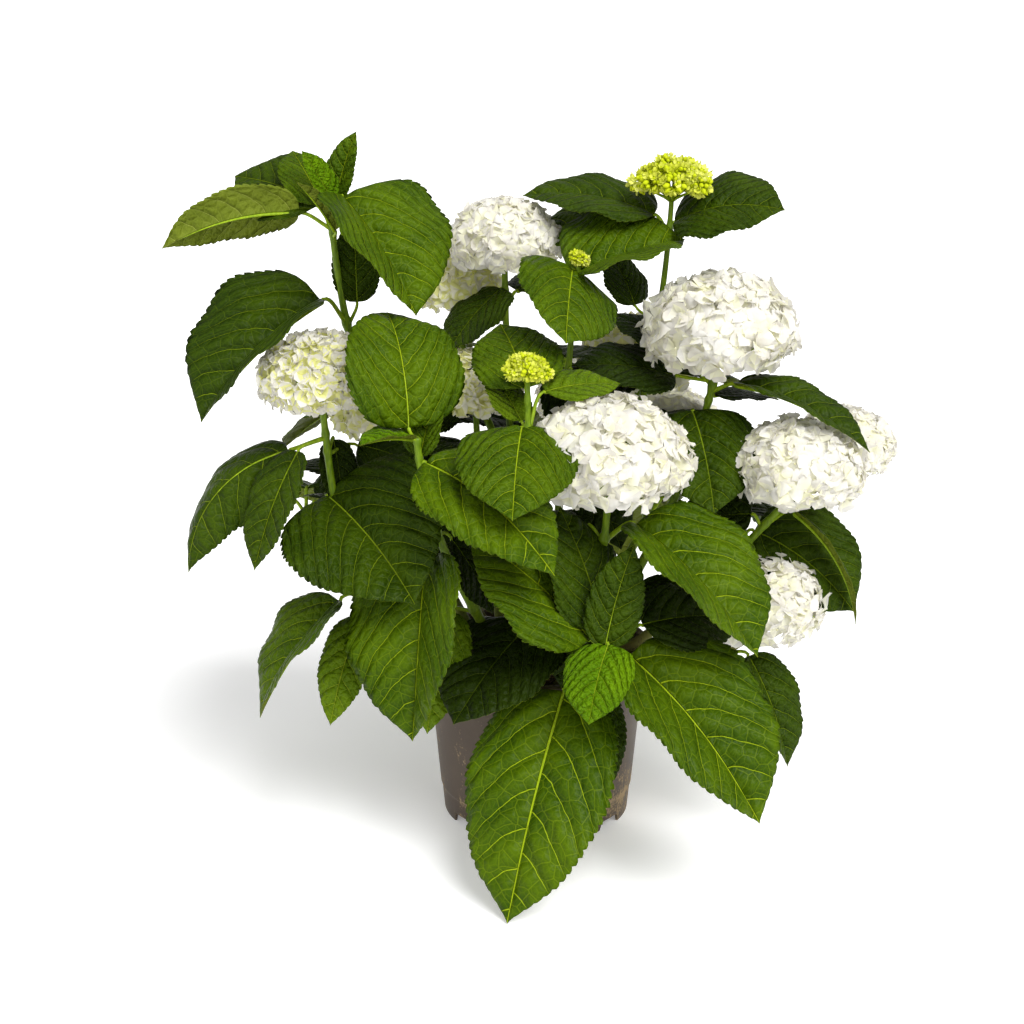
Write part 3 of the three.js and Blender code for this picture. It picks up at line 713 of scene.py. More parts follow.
@dataclass(frozen=True)
class EarthFinish:
    """Peaty compost or bark: dark crumbs with paler fibres; the grain counts crumbs in a metre."""

    name: str
    dark: Colour
    pale: Colour
    grain: float = 260.0

    def material(self) -> bpy.types.Material:
        """Build the material on Object coordinates.

        Returns:
            The material.
        """
        material, b = shader(self.name)
        place = b.place()
        crumb = b.noise(place, self.grain, 4.0, 0.65)
        fibre = b.noise(b.stretch(place, (1.0, 0.3, 1.0)), self.grain * 2.0)
        colour = b.blend(b.smooth(crumb * 0.7 + fibre * 0.3, 0.42, 0.68), self.dark, self.pale)
        close_shader(b, {
            "Base Color": colour,
            "Roughness": 0.92,
            "Specular IOR Level": 0.2,
            "Normal": b.bump(crumb, 1.2 * MM, 0.9),
        })
        return material


# ---- meshes from arrays ----


@dataclass
class Heap:
    """Faces gathered from many small shapes that will be one joined mesh."""

    points: list[Rows] = field(default_factory=list)
    fours: list[Rows] = field(default_factory=list)
    threes: list[Rows] = field(default_factory=list)
    slots: list[Rows] = field(default_factory=list)
    values: list[Rows] = field(default_factory=list)
    maps: list[Rows] = field(default_factory=list)
    count: int = 0

    def add(self, points: Rows, fours: Rows, threes: Rows, slot: Rows | int = 0,
            value: Rows | float = 0.0, maps: Rows | None = None) -> None:
        """Add a shape.

        Args:
            points: corners in metres, one row each.
            fours: four corner numbers a row.
            threes: three corner numbers a row.
            slot: material number, or one for each face, fours first.
            value: the number that each point carries for the material.
            maps: places for each face corner, fours first: Blade, Flat and bake map side by side.
        """
        faces = len(fours) + len(threes)
        self.points.append(points)
        self.fours.append(np.asarray(fours, int).reshape(-1, 4) + self.count)
        self.threes.append(np.asarray(threes, int).reshape(-1, 3) + self.count)
        self.slots.append(np.stack([np.broadcast_to(slot, faces), np.arange(faces) < len(fours)], 1))
        self.values.append(np.broadcast_to(value, len(points)))
        if maps is not None:
            self.maps.append(maps)
        self.count += len(points)

    def add_bar(self, line: Rows, radii: Rows, sides: int) -> None:
        """Add a round bar of the second material; its line and radii are in millimetres."""
        self.add(*tube(line * MM, radii * MM, sides), 1)

    def mesh(self, name: str, value_name: str, materials: list[bpy.types.Material]) -> bpy.types.Object:
        """Make the joined mesh.

        Args:
            name: the piece's name.
            value_name: the attribute that the points' numbers are kept in, or nothing.
            materials: the materials by number.

        Returns:
            A new object at the origin.
        """
        corners, starts, order, begin = [], [], [], 0
        for fours, threes, slots in zip(self.fours, self.threes, self.slots):
            corners += [fours.ravel(), threes.ravel()]
            sizes = np.where(slots[:, 1] > 0, 4, 3)
            starts.append(begin + np.concatenate([[0], np.cumsum(sizes)[:-1]]))
            order.append(slots[:, 0])
            begin += int(sizes.sum())
        mesh = bpy.data.meshes.new(name)
        mesh.vertices.add(self.count)
        mesh.vertices.foreach_set("co", np.concatenate(self.points).astype(np.float32).ravel())
        mesh.loops.add(begin)
        mesh.loops.foreach_set("vertex_index", np.concatenate(corners).astype(np.int32))
        starts = np.concatenate(starts).astype(np.int32)
        mesh.polygons.add(len(starts))
        mesh.polygons.foreach_set("loop_start", starts)
        for material in materials:
            mesh.materials.append(material)
        mesh.polygons.foreach_set("material_index", np.concatenate(order).astype(np.int32))
        mesh.polygons.foreach_set("use_smooth", np.ones(len(starts), bool))
        if value_name:
            layer = mesh.attributes.new(value_name, "FLOAT", "POINT")
            layer.data.foreach_set("value", np.concatenate(self.values).astype(np.float32))
        if self.maps:
            maps = np.concatenate(self.maps).astype(np.float32)
            for number, label in enumerate(("Blade", "Flat", "OFBake")):
                layer = mesh.uv_layers.new(name=label)
                layer.data.foreach_set("uv", maps[:, 2 * number:2 * number + 2].ravel())
        mesh.update(calc_edges=True)
        mesh.validate()
        return linked(name, mesh)


def linked(name: str, data: bpy.types.ID) -> bpy.types.Object:
    """A new object of the scene that holds a mesh, a lamp or a camera."""
    made = bpy.data.objects.new(name, data)
    bpy.context.scene.collection.objects.link(made)
    return made


def settle(piece: bpy.types.Object, slot: str, *nodes: str) -> None:
    """Let a piece ride on the plant and hide the nodes that it stands for.

    Args:
        piece: the finished piece.
        slot: not used.
        nodes: the frame's nodes that it replaces, if any.
    """
    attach(piece, "root")
    if nodes:
        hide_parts(*nodes)
    LOG.info("%s: %d faces, for %s", piece.name, len(piece.data.polygons), ", ".join(nodes) or "nothing")


def bearing(heading: Rows | float, slope: Rows | float) -> Rows:
    """Unit vectors.

    Args:
        heading: their direction seen from above, in degrees from +X.
        slope: how steeply they rise, in degrees.

    Returns:
        One row each.
    """
    heading, slope = np.radians(heading), np.radians(slope)
    flat = np.cos(slope)
    return np.stack(np.broadcast_arrays(np.cos(heading) * flat, np.sin(heading) * flat, np.sin(slope)), -1)


def unit(vectors: Rows) -> Rows:
    """Vectors scaled to length one."""
    return vectors / np.maximum(np.linalg.norm(vectors, axis=-1, keepdims=True), 1e-9)


def headings(sides: int) -> Rows:
    """Even turns round a circle, in radians."""
    return np.arange(sides) * 2 * math.pi / sides


def curve(controls: Rows, share: Rows) -> Rows:
    """Points of a cubic Bezier curve.

    Args:
        controls: its four control points.
        share: shares of its length.

    Returns:
        A point for each share.
    """
    t = np.asarray(share, float)[..., None]
    a, b, c, d = controls
    return (1 - t) ** 3 * a + 3 * (1 - t) ** 2 * t * b + 3 * (1 - t) * t * t * c + t**3 * d


def skin(rings: Rows, foot: Rows, top: Rows) -> Faces:
    """Join rings of points, each to the next, and close both ends with a fan.

    Args:
        rings: the points, rings by sides by three.
        foot: the middle of the first fan.
        top: the middle of the last fan.

    Returns:
        Points, fours and threes, wound outwards for rings that go up.
    """
    count, sides = rings.shape[:2]
    step, side = np.meshgrid(np.arange(count - 1), np.arange(sides), indexing="ij")
    low, after = step * sides, (side + 1) % sides
    fours = np.stack([low + side, low + after, low + sides + after, low + sides + side], -1).reshape(-1, 4)
    this, pole, last = np.arange(sides), count * sides, (count - 1) * sides
    following = (this + 1) % sides
    threes = np.concatenate([
        np.stack([np.full(sides, pole), following, this], 1),
        np.stack([np.full(sides, pole + 1), last + this, last + following], 1),
    ])
    return np.concatenate([rings.reshape(-1, 3), [foot, top]]), fours, threes


# A tube's ends bulge by these shares of their radius. Its turn is measured from a way that no bar follows.
START_BULGE = 0.4
END_BULGE = 0.8
ASKEW = np.array([0.31, 0.93, 0.17])


def tube(line: Rows, radii: Rows, sides: int) -> Faces:
    """A round bar along a line of points, closed at both ends.

    Args:
        line: the points of its middle.
        radii: a radius for each.
        sides: faces round it.

    Returns:
        Points, fours and threes.
    """
    along = unit(np.gradient(line, axis=0))
    across = unit(np.cross(along, ASKEW))
    other = np.cross(along, across)
    turn = headings(sides)[None, :, None]
    ring = np.cos(turn) * across[:, None] + np.sin(turn) * other[:, None]
    rings = line[:, None] + ring * np.asarray(radii)[:, None, None]
    start = line[0] - along[0] * radii[0] * START_BULGE
    end = line[-1] + along[-1] * radii[-1] * END_BULGE
    return skin(rings, start, end)


# ---- heads and stems ----

BLOOM_SEAT = 0.28
BUD_SEAT = 0.55
BLOOM_CROWN = 0.82
BUD_CROWN = 0.68
BLOOM_SWELL = 1.03

# How far a limb's two inner control points stand from its ends, as shares of its rise; the radius of a tip
# that carries buds; and the extra points round a swollen node, as shares of the limb.
LOW_PULL = 0.3
HIGH_PULL = 0.42
BUDDED_TIP = 2.1
NODE_STEPS = np.array([-0.012, -0.005, 0, 0.005, 0.012])


@dataclass(frozen=True)
class Head:
    """The middle and radius, in millimetres, of a flower head or a head in bud."""

    name: str
    middle: Rows
    radius: float
    open: bool

    @classmethod
    def of(cls, node: str) -> Head:
        """Measure a head on its node in the frame.

        Args:
            node: the node's name.

        Returns:
            The head.
        """
        kind, name = node.split("_", 1)
        low, high = (np.array(corner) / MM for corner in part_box(node))
        flowers = kind == "bloom"
        radius = float((high - low)[:2].mean() / 2 / (BLOOM_SWELL if flowers else 1.0))
        middle = (low + high) / 2
        middle[2] = high[2] - radius * (BLOOM_CROWN if flowers else BUD_CROWN)
        return cls(name, middle, radius, flowers)

    def seat(self) -> Rows:
        """Where the stem ends below the head."""
        return self.middle - UP * self.radius * (BLOOM_SEAT if self.open else BUD_SEAT)


@dataclass
class Stem:
    """A limb with swollen nodes that tapers to its tip or its flower head.

    Lengths are in millimetres. A limb on the compost is buried a little and flares over a short way; one that
    is a side shoot flares at its joint. woody_reach is how far up from the compost the green goes brown.
    """

    name: str
    controls: Rows
    side: bool
    sides: int = 10
    steps: int = 48
    foot_radius: float = 4.8
    side_radius: float = 3.6
    tip_radius: float = 2.6
    node_swell: float = 0.3
    node_reach: float = 3.2
    foot_flare: float = 0.35
    side_flare: float = 0.25
    flare_fade: float = 22.0
    buried: float = 6.0
    woody_reach: float = 190.0

    @classmethod
    def grown(cls, name: str, stems: dict[str, Stem], heads: dict[str, Head]) -> Stem:
        """Work out a limb's course from the plan.

        Args:
            name: the shoot.
            stems: the limbs that are already grown, its parent among them.
            heads: every head by name.

        Returns:
            The limb.
        """
        plan = SHOOTS[name]
        if plan.parent:
            start = stems[plan.parent].point(stems[plan.parent].share(plan.start))
        else:
            start = np.array([*plan.foot, COMPOST_TOP])
        end = heads[name].seat() if name in heads else np.array(plan.tip, float)
        rise = UP * (end[2] - start[2])
        across = (end - start) * np.array([1, 1, 0])
        low = start + across * plan.lean + rise * LOW_PULL
        high = end - across * plan.slack - rise * HIGH_PULL
        budded = name in heads and not heads[name].open
        tip_radius = BUDDED_TIP if budded else cls.tip_radius
        return cls(name, np.array([start, low, high, end]), bool(plan.parent), tip_radius=tip_radius)

    def point(self, share: Rows | float) -> Rows:
        """The middle of the limb at a share of its course."""
        return curve(self.controls, share)

    def share(self, height: float) -> float:
        """The share of the course at which the limb reaches a height."""
        shares = np.linspace(0, 1, 201)
        return float(np.interp(height, self.point(shares)[:, 2], shares))

    def radius(self, share: Rows) -> Rows:
        """The bare taper."""
        foot = self.side_radius if self.side else self.foot_radius
        return foot + (self.tip_radius - foot) * share

    def build(self, heap: Heap, nodes: list[float]) -> None:
        """Add the limb with a swelling at each of its nodes.

        Args:
            heap: where its faces go.
            nodes: the heights at which leaves leave it.
        """
        shares = np.linspace(0, 1, self.steps)
        for height in nodes:
            shares = np.concatenate([shares, self.share(height) + NODE_STEPS])
        shares = np.unique(np.clip(shares, 0, 1))
        line = self.point(shares)
        radii = self.radius(shares)
        for height in nodes:
            radii = radii * (1 + self.node_swell * np.exp(-(((line[:, 2] - height) / self.node_reach) ** 2)))
        if self.side:
            radii[0] *= 1 + self.side_flare
        else:
            radii = radii * (1 + self.foot_flare * np.exp(-shares * self.flare_fade))
            line = np.concatenate([line[:1] - UP * self.buried, line])
            radii = np.concatenate([radii[:1], radii])
        age = np.clip(1 - (line[:, 2] - COMPOST_TOP) / self.woody_reach, 0, 1)
        value = np.concatenate([np.repeat(age, self.sides), age[:1], age[-1:]])
        heap.add(*tube(line * MM, radii * MM, self.sides), 0, value)


# ---- leaves ----

# The rows of a blade and its teeth. Rows are shares of the length. A tooth's shoulder and point are shares of
# the pitch between two notches, and the shoulder stands out by a share of the tooth's depth. On the bake map
# each side of a blade has a gap round it, in millimetres.
BASE_ROWS = (0.008, 0.028)
TIP_ROW = 0.986
NOTCHES_FROM = 0.055
NOTCHES_TO = 0.965
BAKE_GAP = 2
SHOULDER_AT = 0.38
SHOULDER_DEPTH = 0.72
POINT_AT = 0.84


@dataclass
class Blade:
    """A leaf blade: a thin closed shell, quilted between its veins, with a toothed margin.

    thick and cell are in millimetres, and thins is how much of the thickness goes towards the margin. tooth,
    puff_height and the groove's sizes are shares of the length. wave and the first and last column of the
    sheet are shares of the half width.
    """

    leaf: Leaf
    base: Rows
    seed: float
    samples: int = 49
    thick: float = 0.5
    thins: float = 0.6
    tooth: float = 0.0155
    first_column: float = 0.045
    last_column: float = 0.9
    cell: float = 3.3
    least_arch: float = 2.0
    wave: float = 0.045
    waves: float = 2.6
    puff_height: float = 0.0115
    groove_depth: float = 0.010
    groove_width: float = 0.016

    def __post_init__(self) -> None:
        """Bend the midrib and turn the blade about it."""
        leaf = self.leaf
        s = np.linspace(0, 1, self.samples)
        slope = leaf.rise + leaf.bend * (0.5 - s)
        heading = leaf.to + leaf.sweep * (s - 0.5)
        tangent = bearing(heading, slope)
        arc = leaf.long * (1 + math.radians(leaf.bend) ** 2 / 24)
        steps = (tangent[1:] + tangent[:-1]) / 2 * arc / (self.samples - 1)
        middle = self.base + np.concatenate([np.zeros((1, 3)), np.cumsum(steps, 0)])
        turned = np.radians(heading)
        side = np.stack([-np.sin(turned), np.cos(turned), np.zeros_like(turned)], 1)
        normal = np.cross(tangent, side)
        roll = np.radians(leaf.roll + leaf.twist * (s - 0.3))[:, None]
        self.course = np.concatenate([
            middle,
            side * np.cos(roll) + normal * np.sin(roll),
            normal * np.cos(roll) - side * np.sin(roll),
            tangent,
        ], 1)

    def frame_at(self, along: Rows) -> tuple[Rows, Rows, Rows, Rows]:
        """The blade's own axes.

        Args:
            along: shares of the length.

        Returns:
            The middle, side, normal and tangent at each.
        """
        s = np.linspace(0, 1, self.samples)
        parts = np.stack([np.interp(along, s, column) for column in self.course.T], -1)
        return parts[..., 0:3], parts[..., 3:6], parts[..., 6:9], parts[..., 9:12]

    def half_width(self, along: Rows) -> Rows:
        """The outline, broadest below the middle and drawn out to a point.

        Args:
            along: shares of the length.

        Returns:
            Half the width at each, in millimetres.
        """
        s = np.clip(along, 0.0, 1.0)
        arch = np.clip(np.sin(math.pi * s**0.7), 1e-5, 1)
        return self.leaf.wide * self.leaf.long / 2 * arch ** (0.52 + 0.55 * s**6)

    def place(self, along: Rows, across: Rows) -> tuple[Rows, Rows]:
        """Points and normals of the upper side.

        Args:
            along: share of the length.
            across: share of the half width, negative on one side.

        Returns:
            Points in millimetres and the blade's own normals.
        """
        leaf = self.leaf
        middle, side, normal, _ = self.frame_at(along)
        out = np.abs(across)
        width = self.half_width(along)
        first = math.radians(leaf.fold) + 0.05 * np.sign(across) * math.sin(self.seed * 40)
        droop = math.radians(max(leaf.arch, self.least_arch))
        reach = width * (np.sin(first) - np.sin(first - droop * out)) / droop
        lift = width * (np.cos(first - droop * out) - np.cos(first)) / droop
        lift = lift + self.swell(along, across)
        wave = np.sin(2 * math.pi * (self.waves * along + self.seed * 3 + 0.35 * (across > 0)))
        lift = lift + width * self.wave * wave * out**2.5
        return middle + (np.sign(across) * reach)[..., None] * side + lift[..., None] * normal, normal

    def swell(self, along: Rows, across: Rows) -> Rows:
        """How far the blade stands above its flat course: swollen between side veins, sunk at the midrib.

        Args:
            along: share of the length.
            across: share of the half width, negative on one side.

        Returns:
            Heights in millimetres.
        """
        leaf = self.leaf
        out = np.abs(across)
        flat = out * self.half_width(along) / leaf.long
        origin = along - flat * VEIN_LEAN - flat**2 * VEIN_BOW
        index = origin * VEIN_PAIRS + (across > 0) * VEIN_STAGGER + self.seed
        fade = np.clip((origin + 0.3) / 0.3, 0.2, 1) * np.minimum(1, out * 5) * (1 - 0.5 * out)
        puff = np.sin(math.pi * index) ** 2 * fade
        ends = np.clip((1 - along) * 6, 0, 1)
        groove = np.exp(-((flat / self.groove_width) ** 2))
        return leaf.long * ends * (self.puff_height * leaf.quilt * puff - self.groove_depth * groove)

    def margin(self, notches: Rows, rows: Rows, rng: np.random.Generator) -> tuple[Rows, Rows]:
        """The toothed edge of one side.

        Args:
            notches: where the notches between the teeth are.
            rows: the rows of the sheet.
            rng: the source of the teeth's unevenness.

        Returns:
            Shares of the length and of the half width along the edge.
        """
        long, foot = self.leaf.long, notches[:-1]
        pitch = notches[1] - notches[0]
        width = np.maximum(self.half_width(foot), 2.0)
        deep = self.tooth * long * np.minimum(1, 0.35 + 2.6 * width / long) / width
        deep = deep * rng.uniform(0.75, 1.2, len(foot))
        heights = np.stack([foot, foot + SHOULDER_AT * pitch, foot + POINT_AT * pitch], 1).ravel()
        reach = np.stack([np.ones(len(foot)), 1 + SHOULDER_DEPTH * deep, 1 + deep], 1).ravel()
        heights = np.concatenate([rows[:2], heights, notches[-1:], rows[-1:]])
        return heights, np.concatenate([[1, 1], reach, [1, 1]])

    def sheet(self) -> Faces:
        """The upper side as a grid with a toothed margin.

        Returns:
            Shares along and across for each point, fours and threes, wound to face up.
        """
        leaf = self.leaf
        teeth = int(round(7 + leaf.long / 10.5))
        notches = np.linspace(NOTCHES_FROM, NOTCHES_TO, teeth + 1)
        rows = np.sort(np.concatenate([BASE_ROWS, notches, (notches[1:] + notches[:-1]) / 2, [TIP_ROW]]))
        count = int(np.clip(round(leaf.wide * leaf.long / 2 / self.cell), 5, 15))
        columns = np.linspace(self.first_column, self.last_column, count)
        columns = np.concatenate([-columns[::-1], [0.0], columns])
        wide, high = len(columns), len(rows)
        grid = np.stack(np.meshgrid(rows, columns, indexing="ij"), -1).reshape(-1, 2)
        points = [grid, np.array([[0, 0], [1, 0]])]
        foot, tip = wide * high, wide * high + 1
        row, column = np.meshgrid(np.arange(high - 1), np.arange(wide - 1), indexing="ij")
        corner = (row * wide + column).ravel()
        fours = [np.stack([corner, corner + wide, corner + wide + 1, corner + 1], 1)]
        edge, last = np.arange(wide - 1), wide * (high - 1)
        threes = [
            np.stack([np.full(wide - 1, foot), edge, edge + 1], 1),
            np.stack([np.full(wide - 1, tip), last + edge + 1, last + edge], 1),
        ]
        rng = np.random.default_rng(int(self.seed * 1e6))
        tooth = np.arange(teeth)
        for sign, inside in ((-1, 0), (1, wide - 1)):
            start = tip + 1 + (sign > 0) * (3 * teeth + 4)
            heights, reach = self.margin(notches, rows, rng)
            points.append(np.stack([heights, sign * reach], 1))
            notch, inner = start + 2 + 3 * tooth, (2 + 2 * tooth) * wide + inside
            strips = [
                np.stack([inner, notch, notch + 1, inner + wide], 1),
                np.stack([inner + wide, notch + 1, notch + 2, inner + 2 * wide], 1),
                np.array([
                    [inside, start, start + 1, inside + wide],
                    [inside + wide, start + 1, start + 2, inside + 2 * wide],
                    [last - wide + inside, start + 2 + 3 * teeth, start + 3 + 3 * teeth, last + inside],
                ]),
            ]
            ends = [
                np.stack([inner + 2 * wide, notch + 2, notch + 3], 1),
                np.array([[foot, start, inside], [tip, last + inside, start + 3 + 3 * teeth]]),
            ]
            fours += [strip[:, ::-sign] for strip in strips]
            threes += [end[:, ::-sign] for end in ends]
        return np.concatenate(points), np.concatenate(fours), np.concatenate(threes)

    def build(self) -> Skin:
        """Close the sheet with its underside and its rim.

        Returns:
            The finished blade, with its upper side and its underside side by side on the bake map.
        """
        leaf = self.leaf
        shares, fours, threes = self.sheet()
        along, across = shares.T
        upper, normal = self.place(along, across)
        thick = self.thick * (1 - self.thins * np.minimum(np.abs(across), 1))[:, None]
        count = len(shares)
        a = np.concatenate([fours.ravel(), threes.ravel()])
        b = np.concatenate([np.roll(fours, -1, 1).ravel(), np.roll(threes, -1, 1).ravel()])
        lone = ~np.isin(a * count + b, b * count + a)
        a, b = a[lone], b[lone]
        rim = np.stack([b, a, a + count, b + count], 1)
        flat = np.stack([across * self.half_width(along), along * leaf.long], 1)
        outward = np.stack([np.sign(across), np.sign(along - 0.5) * 0.3], 1) * 0.7
        blade_map = np.stack([across / 2 + 0.5, along], 1)
        flat_map = flat / leaf.long
        island = np.ptp(flat[:, 0]) + 2 * BAKE_GAP
        bake = flat - [flat[:, 0].min() - BAKE_GAP, -BAKE_GAP]
        below = bake + [island, 0]
        both = [np.concatenate([x, x]) for x in (blade_map, flat_map)] + [np.concatenate([bake, below])]
        below_fours = fours[:, [0, 3, 2, 1]] + count
        corners = np.concatenate([fours.ravel(), below_fours.ravel(), rim.ravel()])
        corners_three = np.concatenate([threes.ravel(), threes[:, ::-1].ravel() + count])
        maps = [np.concatenate([x[corners], x[corners_three]]) for x in both]
        first = 2 * fours.size
        edges = below[rim[:, :2]] + outward[rim[:, :2]]
        maps[2][first:first + rim.size].reshape(-1, 4, 2)[:, :2] = edges
        slots = np.concatenate([
            np.zeros(len(fours), int), np.ones(len(fours) + len(rim), int),
            np.zeros(len(threes), int), np.ones(len(threes), int),
        ])
        return Skin(
            np.concatenate([upper, upper - normal * thick]) * MM,
            np.concatenate([fours, below_fours, rim]),
            np.concatenate([threes, threes[:, ::-1] + count]),
            slots,
            np.concatenate(maps, 1),
            np.array([2 * island, leaf.long + 2 * BAKE_GAP]),
        )


@dataclass
class Skin:
    """A finished blade: its faces, their maps and the room it takes on the bake map, in millimetres."""

    points: Rows
    fours: Rows
    threes: Rows
    slots: Rows
    maps: Rows
    room: Rows


def pack_rooms(rooms: list[Rows]) -> tuple[list[Rows], Rows]:
    """Lay rectangles on shelves.

    Args:
        rooms: width and height of each.

    Returns:
        The low corner of each and the size of the whole sheet.
    """
    width = max(math.sqrt(sum(float(w * h) for w, h in rooms) * 1.15), max(float(w) for w, _ in rooms))
    corners: list[Rows] = [np.zeros(2)] * len(rooms)
    x, y, shelf = 0.0, 0.0, 0.0
    for number in sorted(range(len(rooms)), key=lambda n: -float(rooms[n][1])):
        wide, high = (float(v) for v in rooms[number])
        if x + wide > width:
            x, y, shelf = 0.0, y + shelf, 0.0
        corners[number] = np.array([x, y])
        x += wide
        shelf = max(shelf, high)
    return corners, np.array([width, y + shelf])


@dataclass
class Foliage:
    """All the leaves of one shoot, with the stalks that carry them."""

    stem: Stem
    leaves: list[Leaf]
    stalk_sides: int = 6
    stalk_steps: int = 8
    rib_steps: int = 14
    rib_end: float = 0.86

    def stalk(self, blade: Blade, heap: Heap) -> None:
        """Add a leaf stalk that leaves its node, meets its blade and runs on as the rib below it.

        Args:
            blade: the blade that it carries.
            heap: where its faces go.
        """
        leaf = blade.leaf
        turn = leaf.to if leaf.turn is None else leaf.turn
        root = self.stem.point(self.stem.share(leaf.at - 3))
        away = bearing(turn, leaf.lift + 8)
        long = np.linalg.norm(blade.base - root)
        _, _, _, tangent = blade.frame_at(np.array(0.0))
        controls = np.array([root, root + away * long * 0.45, blade.base - tangent * long * 0.3, blade.base])
        line = curve(controls, np.linspace(0, 0.94, self.stalk_steps))
        share = np.linspace(0.0, self.rib_end, self.rib_steps)
        middle, _, normal, _ = blade.frame_at(share)
        thick = 0.95 + leaf.long / 150
        rib = thick * (0.92 - 0.88 * share / self.rib_end) ** 0.8
        sunk = blade.swell(share, share * 0)[:, None] * normal
        line = np.concatenate([line, middle + sunk - normal * (rib[:, None] * 0.55 + 0.3)])
        radii = np.concatenate([thick * (1.25 - 0.3 * np.linspace(0, 1, self.stalk_steps) ** 0.5), rib])
        heap.add_bar(line, radii, self.stalk_sides)

    def build(self, name: str, rng: np.random.Generator, heap: Heap, dress: Dress) -> bpy.types.Object:
        """Make the joined leaves.

        Args:
            name: the piece's name.
            rng: the source of each leaf's seed.
            heap: where the stalks go.
            dress: the materials.

        Returns:
            The leaves as one piece.
        """
        skins = []
        for leaf in self.leaves:
            turn = leaf.to if leaf.turn is None else leaf.turn
            node = self.stem.point(self.stem.share(leaf.at))
            base = node + bearing(turn, leaf.lift) * leaf.stalk * leaf.long
            blade = Blade(leaf, base, float(rng.uniform(0.02, 0.98)))
            self.stalk(blade, heap)
            skins.append((blade, blade.build()))
        corners, sheet = pack_rooms([skin.room for _, skin in skins])
        tones = sorted({leaf.tone for leaf in self.leaves}, key=lambda tone: tone.value)
        pile = Heap()
        for (blade, skin), corner in zip(skins, corners):
            maps = skin.maps.copy()
            maps[:, 4:6] = (maps[:, 4:6] + corner) / sheet * 0.996 + 0.002
            slots = np.where(skin.slots == 0, tones.index(blade.leaf.tone), len(tones))
            pile.add(skin.points, skin.fours, skin.threes, slots, blade.seed, maps)
        materials = [dress.upper[tone] for tone in tones] + [dress.under]
        return pile.mesh(name, "seed", materials)


# ---- what is scattered over a surface ----


SHAPES = 4
MOST_DENSE = 4e6


